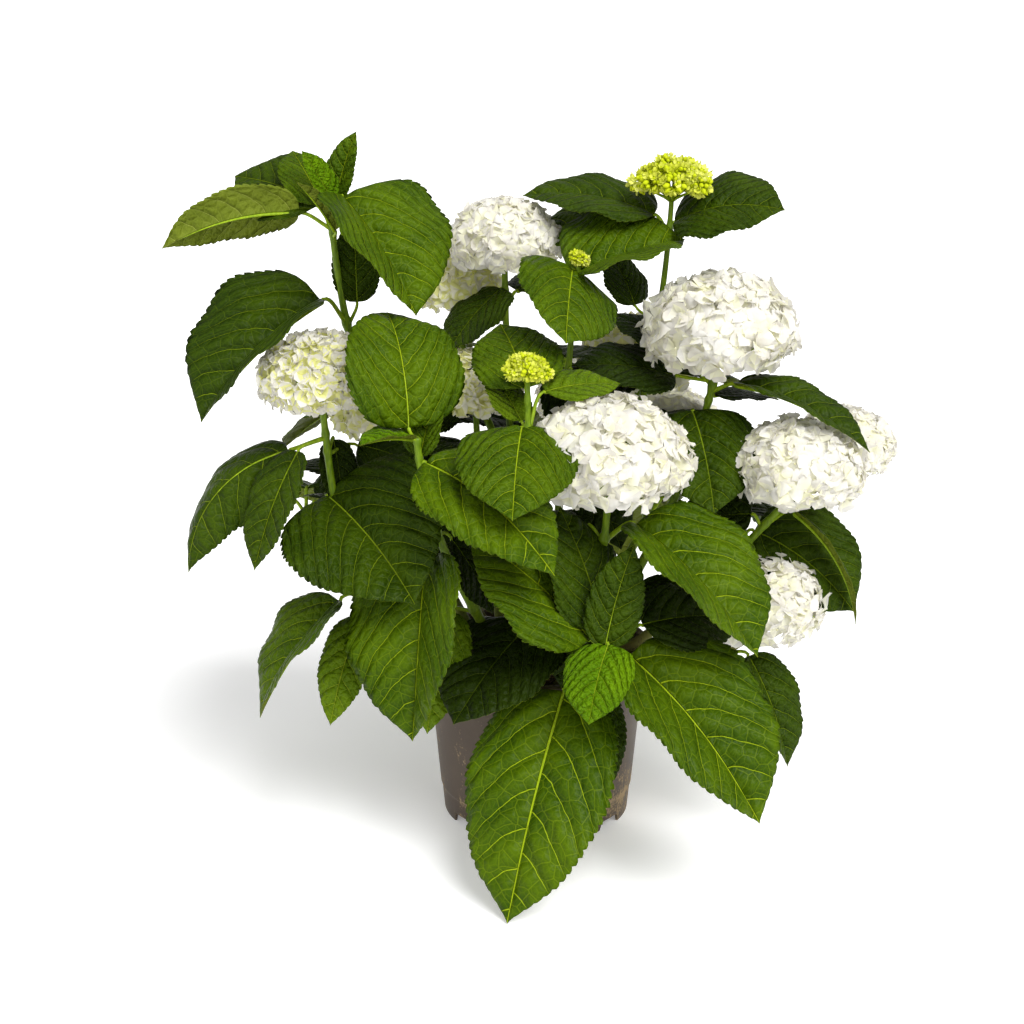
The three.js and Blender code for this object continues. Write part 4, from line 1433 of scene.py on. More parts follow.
@dataclass(frozen=True)
class Scatter:
    """Shapes set over a carrier surface by Geometry Nodes, then made one plain mesh.

    spacing is in metres, tilt in radians, and the shapes are scaled between smallest and largest. A face's
    part number picks its material.
    """

    name: str
    spacing: float
    tilt: float
    smallest: float
    largest: float
    seed: int

    def tree(self, parts: int) -> bpy.types.GeometryNodeTree:
        """Build the node group with named inputs.

        Args:
            parts: how many materials the shapes have.

        Returns:
            The group.
        """
        group = bpy.data.node_groups.new(f"scatter_{self.name}", "GeometryNodeTree")
        group.interface.new_socket("Geometry", in_out="OUTPUT", socket_type="NodeSocketGeometry")
        group.interface.new_socket("Geometry", in_out="INPUT", socket_type="NodeSocketGeometry")
        for label in ("Spacing", "Tilt", "Smallest", "Largest"):
            group.interface.new_socket(label, in_out="INPUT", socket_type="NodeSocketFloat")
        group.interface.new_socket("Seed", in_out="INPUT", socket_type="NodeSocketInt")
        for number in range(SHAPES):
            group.interface.new_socket(f"Shape {number}", in_out="INPUT", socket_type="NodeSocketObject")
        for number in range(parts):
            group.interface.new_socket(f"Material {number}", in_out="INPUT", socket_type="NodeSocketMaterial")
        b = Board(group)
        given = b.node("NodeGroupInput").outputs

        def get(label: str) -> Wire:
            """One of the group's inputs."""
            return Wire(b, given[label])

        spread = b.node("GeometryNodeDistributePointsOnFaces", {"distribute_method": "POISSON"}, {
            "Mesh": get("Geometry"), "Distance Min": get("Spacing"), "Density Max": MOST_DENSE,
            "Seed": get("Seed"),
        })
        lean = b.join(get("Tilt"), get("Tilt"), math.pi)
        back = b.wire("ShaderNodeVectorMath", {"operation": "SCALE"}, {0: lean, "Scale": -1.0})
        turned = b.wire("FunctionNodeRandomValue", {"data_type": "FLOAT_VECTOR"}, {
            0: back, 1: lean, "Seed": get("Seed"),
        })
        turn = b.wire("FunctionNodeEulerToRotation", {}, {0: turned})
        faced = b.wire("FunctionNodeRotateRotation", {"rotation_space": "LOCAL"}, {
            0: Wire(b, spread.outputs["Rotation"]), 1: turn,
        })
        size = b.wire("FunctionNodeRandomValue", {"data_type": "FLOAT"}, {
            2: get("Smallest"), 3: get("Largest"), "Seed": get("Seed") + 1,
        }, 1)
        choice = b.wire("FunctionNodeRandomValue", {"data_type": "INT"}, {
            4: 0, 5: SHAPES - 1, "Seed": get("Seed") + 2,
        }, 2)
        shapes = b.node("GeometryNodeJoinGeometry")
        for number in reversed(range(SHAPES)):
            wanted = {"Object": get(f"Shape {number}"), "As Instance": True}
            shape = b.wire("GeometryNodeObjectInfo", {}, wanted, "Geometry")
            group.links.new(shape.socket, shapes.inputs[0])
        placed = b.wire("GeometryNodeInstanceOnPoints", {}, {
            "Points": Wire(b, spread.outputs[0]), "Instance": Wire(b, shapes.outputs[0]),
            "Pick Instance": True, "Instance Index": choice, "Rotation": faced, "Scale": size,
        })
        result = b.wire("GeometryNodeRealizeInstances", {}, {"Geometry": placed})
        part = b.wire("GeometryNodeInputNamedAttribute", {"data_type": "INT"}, {"Name": "part"})
        equal = {"data_type": "INT", "operation": "EQUAL"}
        for number in range(parts):
            chosen = b.wire("FunctionNodeCompare", equal, {2: part, 3: number})
            result = b.wire("GeometryNodeSetMaterial", {}, {
                "Geometry": result, "Selection": chosen, "Material": get(f"Material {number}"),
            })
        b.node("NodeGroupOutput", {}, {0: result})
        return group

    def build(self, carrier: bpy.types.Object, shapes: list[bpy.types.Object],
              materials: list[bpy.types.Material]) -> bpy.types.Object:
        """Scatter the shapes over the carrier, which is used up.

        Args:
            carrier: the surface.
            shapes: the shapes to choose from, about their own origin with +Z outwards.
            materials: one for each part number.

        Returns:
            The scattered shapes as one plain mesh at the origin.
        """
        group = self.tree(len(materials))
        modifier = carrier.modifiers.new("scatter", "NODES")
        modifier.node_group = group
        values = {
            "Spacing": self.spacing, "Tilt": self.tilt, "Smallest": self.smallest, "Largest": self.largest,
            "Seed": self.seed,
        }
        values |= {f"Shape {number}": shape for number, shape in enumerate(shapes)}
        values |= {f"Material {number}": material for number, material in enumerate(materials)}
        for item in group.interface.items_tree:
            if item.in_out == "INPUT" and item.name in values:
                modifier[item.identifier] = values[item.name]
        graph = bpy.context.evaluated_depsgraph_get()
        mesh = bpy.data.meshes.new_from_object(carrier.evaluated_get(graph), depsgraph=graph)
        carrier.modifiers.remove(modifier)
        discard(carrier)
        mesh.name = self.name
        if "part" in mesh.attributes:
            mesh.attributes.remove(mesh.attributes["part"])
        return linked(self.name, mesh)


def discard(*pieces: bpy.types.Object) -> None:
    """Delete helper objects with their meshes.

    Args:
        pieces: the objects.
    """
    for piece in pieces:
        mesh = piece.data
        bpy.data.objects.remove(piece)
        bpy.data.meshes.remove(mesh)


def plain(name: str, points: Rows, fours: Rows, threes: Rows, parts: Rows | int = 0) -> bpy.types.Object:
    """A helper mesh whose faces carry a part number.

    Args:
        name: its name.
        points: corners in metres.
        fours: four corner numbers a row.
        threes: three corner numbers a row.
        parts: a number for each face, fours first.

    Returns:
        The object.
    """
    heap = Heap()
    heap.add(points, fours, threes)
    piece = heap.mesh(name, "", [])
    layer = piece.data.attributes.new("part", "INT", "FACE")
    layer.data.foreach_set("value", np.broadcast_to(parts, len(piece.data.polygons)).astype(np.int32))
    return piece


def lathe(profile: list[tuple[float, float]], sides: int, goes_up: bool = True) -> Faces:
    """Turn a profile of radius and height about Z; it starts and ends on the axis.

    Args:
        profile: its points, from one end of the axis to the other.
        sides: faces round it.
        goes_up: whether the profile runs upwards, so that the faces look outwards.

    Returns:
        Points, fours and threes.
    """
    radii, heights = np.array(profile[1:-1], float).T
    turn = headings(sides)
    rings = np.stack(np.broadcast_arrays(
        radii[:, None] * np.cos(turn), radii[:, None] * np.sin(turn), heights[:, None],
    ), -1)
    points, fours, threes = skin(rings, UP * profile[0][1], UP * profile[-1][1])
    return (points, fours, threes) if goes_up else (points, fours[:, ::-1], threes[:, ::-1])


# ---- flower heads ----


class Stage(Enum):
    """How far a flower head has come."""

    OPENING = "opening"
    FULL = "full"
    CREAM = "cream"


# How far apart the florets of a head stand, in millimetres.
FLORET_SPACING = {Stage.OPENING: 9.0, Stage.FULL: 10.0, Stage.CREAM: 10.5}


# The rows of a sepal, as shares of its length, and how wide it is at each, as shares of its width.
SEPAL_ROWS = (0.0, 0.22, 0.52, 0.8, 1.0)
SEPAL_WIDTHS = (0.12, 0.62, 1.0, 0.70, 0.06)


@dataclass(frozen=True)
class Floret:
    """Four broad sepals round a small eye; lengths in millimetres, angles in radians."""

    length: float
    width: float
    cup: float
    curl: float
    seed: int
    columns: int = 4
    sepals: int = 4
    overlap: float = 0.6
    eye: float = 1.2

    @property
    def rows(self) -> int:
        """How many rows of points a sepal has."""
        return len(SEPAL_ROWS)

    def sepal(self, turn: float, rng: np.random.Generator) -> Rows:
        """One sepal's grid of points.

        Args:
            turn: its direction round the eye.
            rng: the source of its unevenness.

        Returns:
            Points, rows by columns.
        """
        t = np.array(SEPAL_ROWS)[:, None]
        v = np.linspace(-1, 1, self.columns)[None, :]
        long = self.length * rng.uniform(0.86, 1.14)
        half = self.width / 2 * rng.uniform(0.9, 1.12)
        outline = np.array(SEPAL_WIDTHS)[:, None]
        across = v * half * outline * (1 + 0.10 * rng.uniform(-1, 1) * t)
        rise = self.cup + rng.uniform(-0.18, 0.18)
        bent = rise * t - (self.curl * rng.uniform(0.3, 1.5)) * t**3
        x = 0.7 + long * (t * (1 - 0.18 * rise * rise) - 0.10 * v**2 * t)
        side = rng.uniform(-0.25, 0.25)
        z = long * (bent + side * v * outline * 0.5) + half * 0.34 * v**2 * outline * rng.uniform(-0.2, 1.2)
        z = z + rng.uniform(-0.06, 0.06, across.shape) * long * t + rng.uniform(0.0, 1.0)
        return np.stack([
            x * math.cos(turn) - across * math.sin(turn), x * math.sin(turn) + across * math.cos(turn), z,
        ], -1)

    def build(self, name: str) -> bpy.types.Object:
        """Make the floret about the origin, with +Z outwards: part 0 sepals, 1 their claws, 2 the eye.

        Args:
            name: its name.

        Returns:
            The floret as a helper object.
        """
        rng = np.random.default_rng(self.seed)
        points, fours, parts = [], [], []
        row, column = np.meshgrid(np.arange(self.rows - 1), np.arange(self.columns - 1), indexing="ij")
        corner = (row * self.columns + column).ravel()
        quads = np.stack([corner, corner + self.columns, corner + self.columns + 1, corner + 1], 1)
        for number in range(self.sepals):
            turn = number * 2 * math.pi / self.sepals + rng.uniform(-0.16, 0.16)
            points.append(self.sepal(turn, rng).reshape(-1, 3) + UP * self.overlap * (number % 2))
            fours.append(quads + number * self.rows * self.columns)
            parts.append((row.ravel() == 0).astype(int))
        ball = lathe([(0, -0.4), (self.eye, 0.4), (self.eye * 0.8, self.eye * 1.1), (0, self.eye * 1.5)], 5)
        start = self.sepals * self.rows * self.columns
        points.append(ball[0])
        fours.append(ball[1] + start)
        parts.append(np.full(len(ball[1]) + len(ball[2]), 2))
        faces = np.concatenate(fours), ball[2] + start
        return plain(name, np.concatenate(points) * MM, *faces, np.concatenate(parts))


def fan_out(number: int, count: int, seed: int) -> tuple[float, float]:
    """Spread branches over a round head by the golden angle.

    Args:
        number: which branch.
        count: how many there are.
        seed: where the first one points.

    Returns:
        How far out it comes, as a share of the head's area, and its turn.
    """
    return (number + 0.5) / count, number * GOLDEN + seed


def around(turn: float, out: float, up: float) -> Rows:
    """A step out from an axis and up along it."""
    return np.array([math.cos(turn) * out, math.sin(turn) * out, up])


@dataclass
class Bloom:
    """A mophead: florets over a flattened dome, carried by branching flower stalks.

    dome_radius is a share of the head's radius. dome_above and dome_below are how high the dome stands above
    and below its middle, as shares of its own radius. It ends at the angle rim from its top, in degrees.
    """

    head: Head
    stage: Stage
    seed: int
    rings: int = 14
    sides: int = 40
    dome_radius: float = 0.88
    dome_above: float = 0.74
    dome_below: float = 0.62
    rim: float = 118.0
    lumps: float = 0.045
    rays: int = 8
    forks: int = 3

    def dome(self) -> bpy.types.Object:
        """Make the surface that the florets stand on, a little inside the head's outline.

        Returns:
            The dome as a helper object.
        """
        full = self.head.radius * self.dome_radius
        polar = np.linspace(0, 1, self.rings) * math.radians(self.rim)
        radii = np.sin(polar) * full
        heights = np.cos(polar) * np.where(polar < math.pi / 2, self.dome_above, self.dome_below) * full
        profile = [(0.0, heights[0]), *zip(radii[1:], heights[1:]), (0.0, heights[-1])]
        points, fours, threes = lathe(profile, self.sides, False)
        turn = np.arctan2(points[:, 1], points[:, 0])
        lumps = 1 + self.lumps * np.sin(5 * turn + self.seed) * np.hypot(points[:, 0], points[:, 1]) / full
        points[:, :2] *= lumps[:, None]
        return plain("dome", (points + self.head.middle) * MM, fours, threes[:self.sides])

    def stalks(self, heap: Heap) -> None:
        """Add the rays that spread from the stem's tip and the thinner ones that they carry.

        Args:
            heap: where their faces go.
        """
        middle, radius = self.head.middle, self.head.radius
        seat = self.head.seat() - UP * 0.12 * radius
        for ray in range(self.rays):
            share, turn = fan_out(ray, self.rays, self.seed)
            out = radius * (0.2 + 0.55 * math.sqrt(share))
            up = radius * (0.42 - 0.5 * share)
            end = middle + around(turn, out, up)
            elbow = seat + (end - seat) * np.array([0.65, 0.65, 0.3])
            line = curve(np.array([seat, seat + (elbow - seat) * 0.5, elbow, end]), np.linspace(0, 1, 7))
            heap.add_bar(line, np.linspace(1.7, 1.1, 7), 6)
            near = line[4]
            for fork in range(self.forks):
                far = middle + around(turn + (fork - 1) * 0.75, out * 1.22, up + radius * (0.14 - 0.1 * fork))
                bent = near + (far - near) * [0.3, 0.3, 0.5]
                twig = curve(np.array([near, bent, far, far]), np.linspace(0, 1, 5))
                heap.add_bar(twig, np.full(5, 0.75), 5)

    def build(self, dress: Dress, kinds: dict[Stage, list[bpy.types.Object]]) -> bpy.types.Object:
        """Scatter the florets of the head's stage over its dome.

        Args:
            dress: the materials.
            kinds: the florets to choose from at each stage.

        Returns:
            The florets as one piece.
        """
        size = float(np.clip(self.head.radius / 62, 0.72, 1.0))
        spacing = FLORET_SPACING[self.stage] * size
        scatter = Scatter(f"petals_{self.head.name}", spacing * MM, 0.40, 0.86 * size, 1.1 * size, self.seed)
        return scatter.build(self.dome(), kinds[self.stage], dress.petals[self.stage])


# A cluster's outline as shares of its radius, and how far apart its buds stand in millimetres.
CLUSTER_PROFILE = ((0, -0.5), (0.62, -0.42), (0.96, -0.1), (0.9, 0.3), (0.55, 0.62), (0, 0.74))
BUD_SPACING = 2.5


@dataclass
class BudHead:
    """A head in bud: small pointed buds in clusters on short rays."""

    head: Head
    seed: int
    clusters: int
    size: float

    def build(self, dress: Dress, shapes: list[bpy.types.Object], heap: Heap) -> bpy.types.Object:
        """Scatter buds over the clusters and add the rays.

        Args:
            dress: the materials.
            shapes: the buds to choose from.
            heap: where the rays go.

        Returns:
            The buds as one piece.
        """
        reach = self.head.radius
        own = reach * 0.95 / math.sqrt(self.clusters)
        seat = self.head.seat()
        carrier = Heap()
        rng = np.random.default_rng(self.seed)
        for number in range(self.clusters):
            share, turn = fan_out(number, self.clusters, self.seed)
            out = (reach - own * 0.8) * math.sqrt(share)
            up = reach * (0.34 - 0.52 * share) + rng.uniform(-0.08, 0.08) * reach
            middle = self.head.middle + around(turn, out, up)
            points, fours, threes = lathe([(r * own, h * own) for r, h in CLUSTER_PROFILE], 9)
            carrier.add((points + middle) * MM, fours, threes)
            foot = middle - UP * own * 0.4
            bent = seat + (foot - seat) * [0.3, 0.3, 0.6]
            line = curve(np.array([seat, bent, foot, foot]), np.linspace(0, 1, 6))
            heap.add_bar(line, np.linspace(1.3, 0.8, 6), 5)
        surface = carrier.mesh("clusters", "", [])
        name, size = f"florets_bud_{self.head.name}", self.size
        scatter = Scatter(name, BUD_SPACING * size * MM, 0.5, 0.8 * size, 1.2 * size, self.seed)
        return scatter.build(surface, shapes, dress.bud)


def bud_shape(name: str, radius: float, height: float) -> bpy.types.Object:
    """A small pointed bud standing on the origin.

    Args:
        name: its name.
        radius: its radius in millimetres.
        height: its height in millimetres.

    Returns:
        The bud as a helper object.
    """
    profile = [
        (0, -0.4), (0.55 * radius, -0.2), (radius, 0.35 * height), (0.82 * radius, 0.62 * height),
        (0.3 * radius, 0.92 * height), (0, height),
    ]
    points, fours, threes = lathe(profile, 7)
    return plain(name, points * MM, fours, threes, 1)


# ---- pot and compost ----


@dataclass
class Pot:
    """A moulded nursery pot, tapering, with a lip, a stepped foot band and seven feet between notches.

    low_edge is the rounding of the wall's lower edge. band_top and shelf are two heights on the foot band.
    """

    height: float = 147.0
    foot_radius: float = 80.0
    mouth_radius: float = 93.0
    wall: float = 1.6
    step_height: float = 23.0
    step_depth: float = 0.9
    lip_width: float = 4.0
    lip_height: float = 7.0
    hub_radius: float = 3.0
    pad_radius: float = 42.0
    floor: float = 2.0
    raised: float = 15.0
    raised_slope: float = 0.55
    low_edge: float = 0.35
    band_top: float = 17.0
    shelf: float = 19.5
    feet: int = 7
    notch_low: float = 27.0
    notch_high: float = 20.0
    notch_height: float = 8.0
    sides: int = 360

    def radius(self, height: Rows | float) -> Rows | float:
        """The wall's outside radius above its step."""
        return self.foot_radius + (self.mouth_radius - self.foot_radius) * height / self.height

    def edge(self, turn: Rows) -> Rows:
        """Height of the wall's lower edge round the pot; a notch stands in front.

        Args:
            turn: turns about Z, in radians.

        Returns:
            A height for each.
        """
        pitch = 2 * math.pi / self.feet
        off = np.abs((turn + pitch / 4) % pitch - pitch / 2) * self.foot_radius
        slant = np.clip((self.notch_low / 2 - off) / ((self.notch_low - self.notch_high) / 2), 0, 1)
        return self.notch_height * slant * slant * (3 - 2 * slant)

    def underside(self, edge: Rows) -> list[Ring]:
        """Rings from the middle of the underside out to the wall's lower edge.

        Args:
            edge: the height of that edge round the pot.

        Returns:
            Radii and heights.
        """
        pad, raised = self.pad_radius, self.raised
        foot = self.radius(edge) - self.step_depth
        return [
            (self.hub_radius, 0),
            (pad - 2, 0),
            (pad, 0.8),
            (pad + raised * self.raised_slope, raised - 1),
            (pad + raised * self.raised_slope + 2, raised),
            (self.foot_radius - self.step_depth - 2.4 * self.wall, raised),
            (foot - self.wall * 1.3, edge + 0.3),
            (foot - self.wall * 0.9, edge),
            (foot - self.low_edge, edge),
            (foot, edge + self.low_edge),
        ]

    def outside(self, edge: Rows) -> list[Ring]:
        """Rings up the foot band, over the step and up the wall to the lip.

        Args:
            edge: the height of the wall's lower edge round the pot.

        Returns:
            Radii and heights.
        """
        low, step, lip = self.step_depth, self.step_height, self.height - self.lip_height
        start, rise = edge + self.low_edge, self.band_top - edge - self.low_edge
        band = [start + rise * share for share in (0.25, 0.5, 0.75, 1.0)]
        rounded = ((self.shelf, low), (step - 1.2, low), (step - 0.3, low * 0.8), (step + 0.6, low * 0.25),
                   (step + 1.6, 0), (step + 4, 0))
        wall = np.linspace(step + 12, lip - 2.0, 9)
        return [
            *((self.radius(height) - low, height) for height in band),
            *((self.radius(height) - drop, height) for height, drop in rounded),
            *((self.radius(height), height) for height in wall),
            (self.radius(lip) + 0.2, lip - 0.5),
        ]

    def inside(self) -> list[Ring]:
        """Rings round the lip, down the inside and over the floor to its middle.

        Returns:
            Radii and heights.
        """
        top, lip = self.height, self.height - self.lip_height
        outer, mouth = self.radius(top) + self.lip_width, self.radius(top) - self.wall - self.step_depth
        down = (top - 1.2, top - 5, top - 10, top - 16, 100, 60, self.raised + 3)
        return [
            (outer - 1.6, lip), (outer - 0.6, lip + 0.3), (outer - 0.2, lip + 1.0), (outer, top - 1.0),
            (outer - 0.35, top - 0.25), (outer - 1.0, top), (mouth + 1.2, top), (mouth + 0.3, top - 0.3),
            *((self.radius(height) - (self.wall + self.step_depth), height) for height in down),
            (self.pad_radius + self.raised * self.raised_slope, self.raised + 2),
            (self.pad_radius, self.floor),
            (self.hub_radius, self.floor),
        ]

    def build(self, dress: Dress) -> bpy.types.Object:
        """Make the pot as one closed skin.

        Args:
            dress: the materials.

        Returns:
            The pot.
        """
        turn = headings(self.sides)
        edge = self.edge(turn)
        rings = [*self.underside(edge), *self.outside(edge), *self.inside()]
        radii, heights = (np.stack([np.broadcast_to(ring[k], self.sides) for ring in rings]) for k in (0, 1))
        surface = np.stack([radii * np.cos(turn), radii * np.sin(turn), heights], -1)
        points, fours, threes = skin(surface, np.zeros(3), UP * self.floor)
        heap = Heap()
        heap.add(points * MM, fours, threes)
        return heap.mesh("pot_body", "", [dress.pot])


# A bark chip's outline in millimetres, and how it is stretched along X, Y and Z.
CHIP_PROFILE = ((0, -0.8), (1.0, -0.45), (1.15, 0.1), (0.8, 0.6), (0, 0.75))
CHIP_STRETCH = (2.9, 1.7, 0.9)


@dataclass
class Compost:
    """Mounded compost that fills the pot, with bark crumbs on top and the woody stool in the middle.

    foot_height and foot_radius are where the plug of compost stands on the pot's raised floor.
    """

    radius: float = 88.0
    mound: float = 4.0
    foot_height: float = 18.0
    foot_radius: float = 77.0
    shoulder: float = 9.0
    rough: float = 1.1
    rings: int = 26
    sides: int = 110
    crumb_reach: float = 0.965
    crumb_rings: int = 11
    crumb_sides: int = 40
    crumb_spacing: float = 4.0
    stool_radius: float = 17.0
    stool_height: float = 28.0
    stool_depth: float = 6.0
    stool_cap: float = 2.0
    stool_sides: int = 64

    def top(self, radius: float, rings: int) -> list[tuple[float, float]]:
        """The mound's profile.

        Args:
            radius: how far out it goes.
            rings: its steps.

        Returns:
            Radii and heights over the compost's level, from the middle outwards.
        """
        share = np.linspace(0, 1, rings + 1)
        return [(radius * out, self.mound * (1 - out**2)) for out in share]

    def bed(self, dress: Dress) -> bpy.types.Object:
        """Make the compost itself: an uneven top on a closed plug.

        Args:
            dress: the materials.

        Returns:
            The compost.
        """
        foot = self.foot_height - COMPOST_TOP
        plug = [(0.0, foot), (self.foot_radius, foot), (self.radius - 1.5, -self.shoulder)]
        points, fours, threes = lathe(plug + self.top(self.radius, self.rings)[::-1], self.sides)
        rng = np.random.default_rng(SEED)
        upper = (points[:, 2] > -2) & (np.hypot(points[:, 0], points[:, 1]) < self.radius - 1)
        points[upper, 2] += rng.uniform(-self.rough, self.rough, int(upper.sum()))
        heap = Heap()
        heap.add((points + UP * COMPOST_TOP) * MM, fours, threes)
        return heap.mesh("compost_bed", "", [dress.compost])

    def crumbs(self, dress: Dress) -> bpy.types.Object:
        """Make the bark crumbs that lie scattered over the top.

        Args:
            dress: the materials.

        Returns:
            The crumbs as one piece.
        """
        profile = [*self.top(self.crumb_reach * self.radius, self.crumb_rings), (0.0, 0.0)]
        points, fours, threes = lathe(profile, self.crumb_sides, False)
        points = (points + UP * (COMPOST_TOP + 0.4)) * MM
        carrier = plain("crumb_bed", points, fours, threes[:self.crumb_sides])
        rng = np.random.default_rng(SEED + 1)
        shapes = []
        for number in range(SHAPES):
            points, fours, threes = lathe(CHIP_PROFILE, 6)
            chip = points * CHIP_STRETCH * rng.uniform(0.7, 1.3, 3) + rng.uniform(-0.35, 0.35, points.shape)
            shapes.append(plain(f"chip_{number}", chip * MM, fours, threes))
        scatter = Scatter("compost_crumbs", self.crumb_spacing * MM, 0.5, 0.5, 1.25, SEED)
        piece = scatter.build(carrier, shapes, [dress.bark])
        discard(*shapes)
        return piece

    def stool(self, dress: Dress) -> bpy.types.Object:
        """Make the short woody stem that the shoots spring from, with furrowed bark.

        Args:
            dress: the materials.

        Returns:
            The stool.
        """
        share = np.linspace(0, 1, 15)
        radii = self.stool_radius * (1.06 - 0.16 * share - 0.42 * share**5)
        heights = self.stool_height * share - self.stool_depth
        profile = [(0.0, heights[0]), *zip(radii, heights), (0.0, heights[-1] + self.stool_cap)]
        points, fours, threes = lathe(profile, self.stool_sides)
        turn = np.arctan2(points[:, 1], points[:, 0])
        far = np.hypot(points[:, 0], points[:, 1])
        broad = 0.06 * np.sin(9 * turn + points[:, 2] * 0.12)
        fine = 0.035 * np.sin(23 * turn - points[:, 2] * 0.2)
        points[:, :2] *= np.where(far > 1, 1 + broad + fine, 1)[:, None]
        heap = Heap()
        heap.add((points + UP * (COMPOST_TOP + self.mound)) * MM, fours, threes)
        return heap.mesh("stool_bark", "", [dress.wood])


# ---- the plant ----


class Dress:
    """Every material, built once."""

    def __init__(self) -> None:
        """Build the materials."""
        self.upper = {tone: finish.material() for tone, finish in UPPER.items()}
        self.under = UNDER.material()
        self.stem = StemFinish().material()
        self.stalk = StemFinish("stalk_green", (0.170, 0.270, 0.004), (0.270, 0.380, 0.010)).material()
        white, claw, greenish, eye = (finish.material() for finish in (PETAL, CLAW, GREENISH, EYE))
        cream = CREAM.material()
        self.petals = {
            Stage.OPENING: [white, greenish, greenish],
            Stage.FULL: [white, claw, eye],
            Stage.CREAM: [cream, greenish, eye],
        }
        bud, tip = BUD.material(), BUD_TIP.material()
        self.bud = [tip, bud, bud]
        self.pot = PotFinish().material()
        self.compost = EarthFinish("compost_dark", (0.020, 0.013, 0.009), (0.085, 0.055, 0.034)).material()
        self.bark = EarthFinish("bark_chips", (0.050, 0.030, 0.018), (0.150, 0.095, 0.055), 420.0).material()
        self.wood = EarthFinish("old_wood", (0.090, 0.066, 0.040), (0.240, 0.185, 0.115), 300.0).material()


FLORETS: dict[Stage, tuple[Floret, ...]] = {
    Stage.OPENING: (
        Floret(13, 13, 0.5, 0.2, 3),
        Floret(11, 12, 0.8, 0.0, 4),
        Floret(16, 16, 0.3, 0.3, 5),
        Floret(12, 12, 0.6, 0.1, 6),
    ),
    Stage.FULL: (
        Floret(14, 15, 0.25, 0.3, 11),
        Floret(15, 14, 0.1, 0.4, 12),
        Floret(13, 14, 0.5, 0.2, 13),
        Floret(16, 15, 0.35, 0.5, 14),
    ),
}
HALF_OPEN_BUDS = (Floret(2.7, 2.8, 1.20, 0.0, 21, eye=1.1), Floret(3.4, 3.2, 0.95, 0.1, 22, eye=1.2))

# Every head that isn't named here is full, and each head in bud has its clusters and the size of its buds.
STAGES: dict[str, Stage] = {
    "left": Stage.OPENING,
    "left_back": Stage.CREAM,
    "top_back": Stage.CREAM,
    "middle": Stage.CREAM,
    "right_inner": Stage.CREAM,
}
BUD_CLUSTERS: dict[str, tuple[int, float]] = {"small": (3, 0.7), "top_right": (15, 1.15), "front": (7, 0.95)}


class Plant:
    """The whole shrub: limbs, leaves, heads and buds."""

    def __init__(self, dress: Dress) -> None:
        """Measure the heads on the frame and grow the limbs to them.

        Args:
            dress: the materials.
        """
        self.dress = dress
        self.nodes = set(frame["nodes"])
        heads = [Head.of(node) for node in sorted(self.nodes) if node.startswith(("bloom_", "buds_"))]
        self.heads = {head.name: head for head in heads}
        self.stems: dict[str, Stem] = {}
        for name in SHOOTS:
            self.stems[name] = Stem.grown(name, self.stems, self.heads)

    def leaves_of(self, name: str, rng: np.random.Generator) -> list[Leaf]:
        """The planned leaves of a shoot, each a little uneven.

        Args:
            name: the shoot.
            rng: the source of the unevenness.

        Returns:
            Its leaves.
        """
        return [
            replace(leaf, sweep=leaf.sweep + rng.uniform(-9, 9), twist=leaf.twist + rng.uniform(-10, 10))
            for leaf in LEAVES.get(name, [])
        ]

    def build(self) -> None:
        """Make every piece of the plant and settle it on the frame."""
        shapes = {
            stage: [floret.build(f"floret_{stage.value}_{number}") for number, floret in enumerate(florets)]
            for stage, florets in FLORETS.items()
        }
        shapes[Stage.CREAM] = shapes[Stage.FULL]
        buds = [
            bud_shape("bud_0", 1.5, 3.4), HALF_OPEN_BUDS[0].build("bud_1"),
            bud_shape("bud_2", 1.8, 4.2), HALF_OPEN_BUDS[1].build("bud_3"),
        ]
        for number, (name, stem) in enumerate(self.stems.items()):
            rng = np.random.default_rng(SEED * 100 + number)
            leaves = self.leaves_of(name, rng)
            heap = Heap()
            stem.build(heap, sorted({leaf.at for leaf in leaves}))
            if leaves:
                piece = Foliage(stem, leaves).build(f"foliage_{name}", rng, heap, self.dress)
                settle(piece, "foliage", *({f"leaves_{name}"} & self.nodes))
            head = self.heads.get(name)
            if head and head.open:
                bloom = Bloom(head, STAGES.get(name, Stage.FULL), number + 3)
                bloom.stalks(heap)
                settle(bloom.build(self.dress, shapes), "blossom", f"bloom_{name}")
            elif head:
                bud_head = BudHead(head, number, *BUD_CLUSTERS[name])
                settle(bud_head.build(self.dress, buds, heap), "buds", f"buds_{name}")
            limb = heap.mesh(f"limb_{name}", "age", [self.dress.stem, self.dress.stalk])
            settle(limb, "green_stem", f"stem_{name}")
        discard(*shapes[Stage.OPENING], *shapes[Stage.FULL], *buds)


# ---- floor, lights and camera ----


@dataclass(frozen=True)
class Light:
    """A far, broad light: where it comes from, how wide it looks in degrees and its watts a square metre."""

    name: str
    place: tuple[float, float, float]
    spread: float
    strength: float

    def build(self) -> None:
        """Add the light."""
        lamp = bpy.data.lights.new(self.name, "SUN")
        lamp.angle = math.radians(self.spread)
        lamp.energy = self.strength
        holder = linked(self.name, lamp)
        holder.location = self.place
        holder.rotation_euler = (-Vector(self.place)).to_track_quat("-Z", "Y").to_euler()


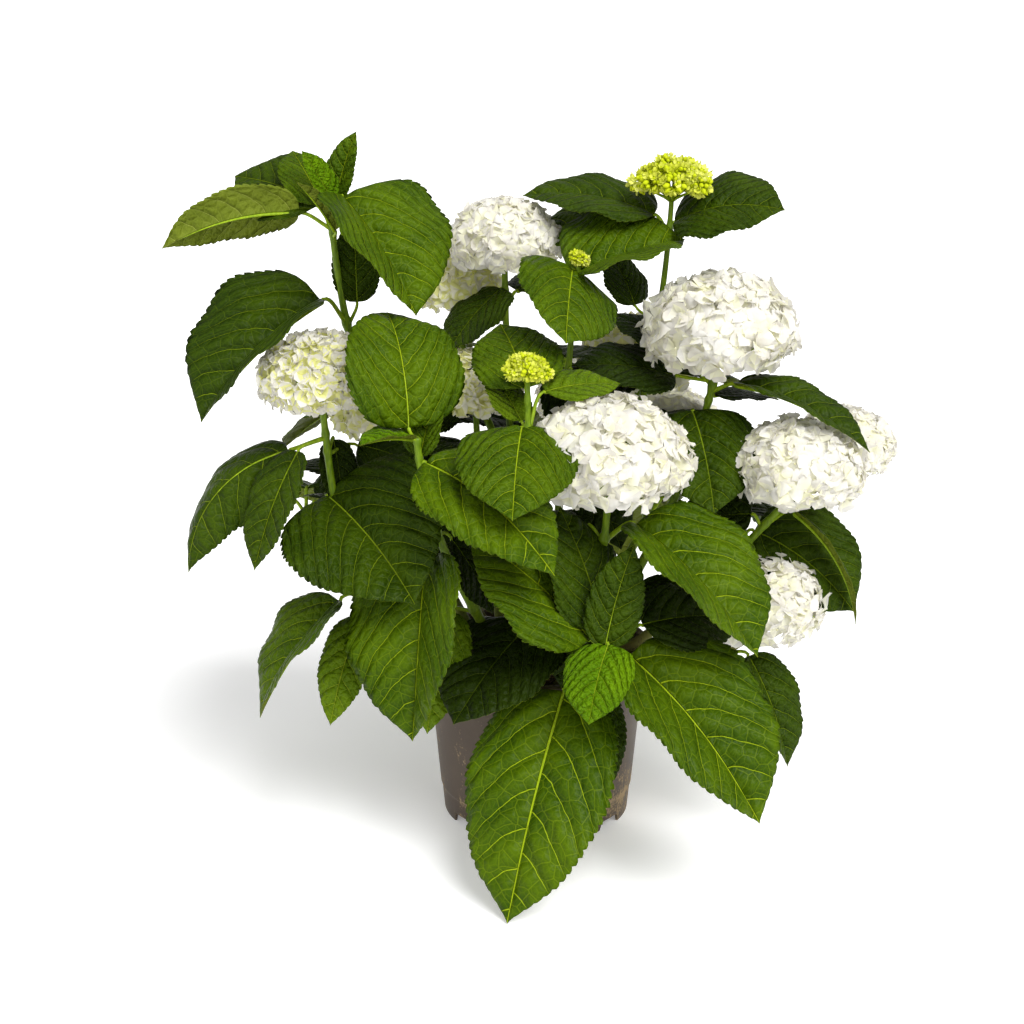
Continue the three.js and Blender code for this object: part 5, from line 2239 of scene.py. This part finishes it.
@dataclass(frozen=True)
class Studio:
    """A pale floor, a soft surround, broad soft lights and the camera.

    aim and distance are in millimetres, elevation in degrees, and floor_radius in metres.
    """

    floor_radius: float = 40.0
    floor_sides: int = 96
    floor: Colour = (0.90, 0.90, 0.90)
    floor_glow: float = 0.25
    surround: float = 0.46
    lights: tuple[Light, ...] = (
        Light("key", (0.50, -0.75, 1.0), 38.0, 4.3),
        Light("fill", (-0.8, -0.9, 0.6), 80.0, 0.95),
    )
    aim: tuple[float, float, float] = (-20.75, 0.0, 264.0)
    distance: float = 1660.0
    elevation: float = 18.0
    sensor: float = 36.0
    focal_ratio: float = 2000 / 1024

    def build(self) -> None:
        """Set the stage."""
        self.ground()
        self.air()
        for light in self.lights:
            light.build()
        bpy.context.scene.view_settings.view_transform = "Standard"
        self.camera()

    def ground(self) -> None:
        """A round floor that fills the view."""
        turn = headings(self.floor_sides)
        points = np.stack([np.cos(turn), np.sin(turn), turn * 0], 1) * self.floor_radius
        mesh = bpy.data.meshes.new("floor")
        mesh.from_pydata(points.tolist(), [], [list(range(self.floor_sides))])
        piece = linked("floor", mesh)
        material, b = shader("floor_pale")
        close_shader(b, {
            "Base Color": (*self.floor, 1.0), "Roughness": 0.9, "Specular IOR Level": 0.0,
            "Emission Color": (*self.floor, 1.0), "Emission Strength": self.floor_glow,
        })
        mesh.materials.append(material)

    def air(self) -> None:
        """The white light that comes from all round."""
        world = bpy.data.worlds.new("surround")
        world.use_nodes = True
        sockets = world.node_tree.nodes["Background"].inputs
        sockets["Color"].default_value = (1.0, 1.0, 1.0, 1.0)
        sockets["Strength"].default_value = self.surround
        bpy.context.scene.world = world

    def camera(self) -> None:
        """Add the camera."""
        lens = bpy.data.cameras.new("camera")
        lens.sensor_width = self.sensor
        lens.lens = self.sensor * self.focal_ratio
        holder = linked("camera", lens)
        tilt = math.radians(self.elevation)
        away = Vector((0, -math.cos(tilt), math.sin(tilt))) * self.distance
        holder.location = (Vector(self.aim) + away) * MM
        holder.rotation_euler = (math.pi / 2 - tilt, 0, 0)
        bpy.context.scene.camera = holder


def main() -> None:
    """Build the pot, the compost, the plant and the studio."""
    logging.basicConfig(level=logging.INFO, format="%(message)s")
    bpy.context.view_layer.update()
    dress = Dress()
    settle(Pot().build(dress), "pot_plastic", "pot")
    compost = Compost()
    settle(compost.bed(dress), "compost", "compost")
    settle(compost.crumbs(dress), "compost")
    settle(compost.stool(dress), "old_wood", "stool")
    Plant(dress).build()
    Studio().build()


if __name__ == "__main__":
    main()
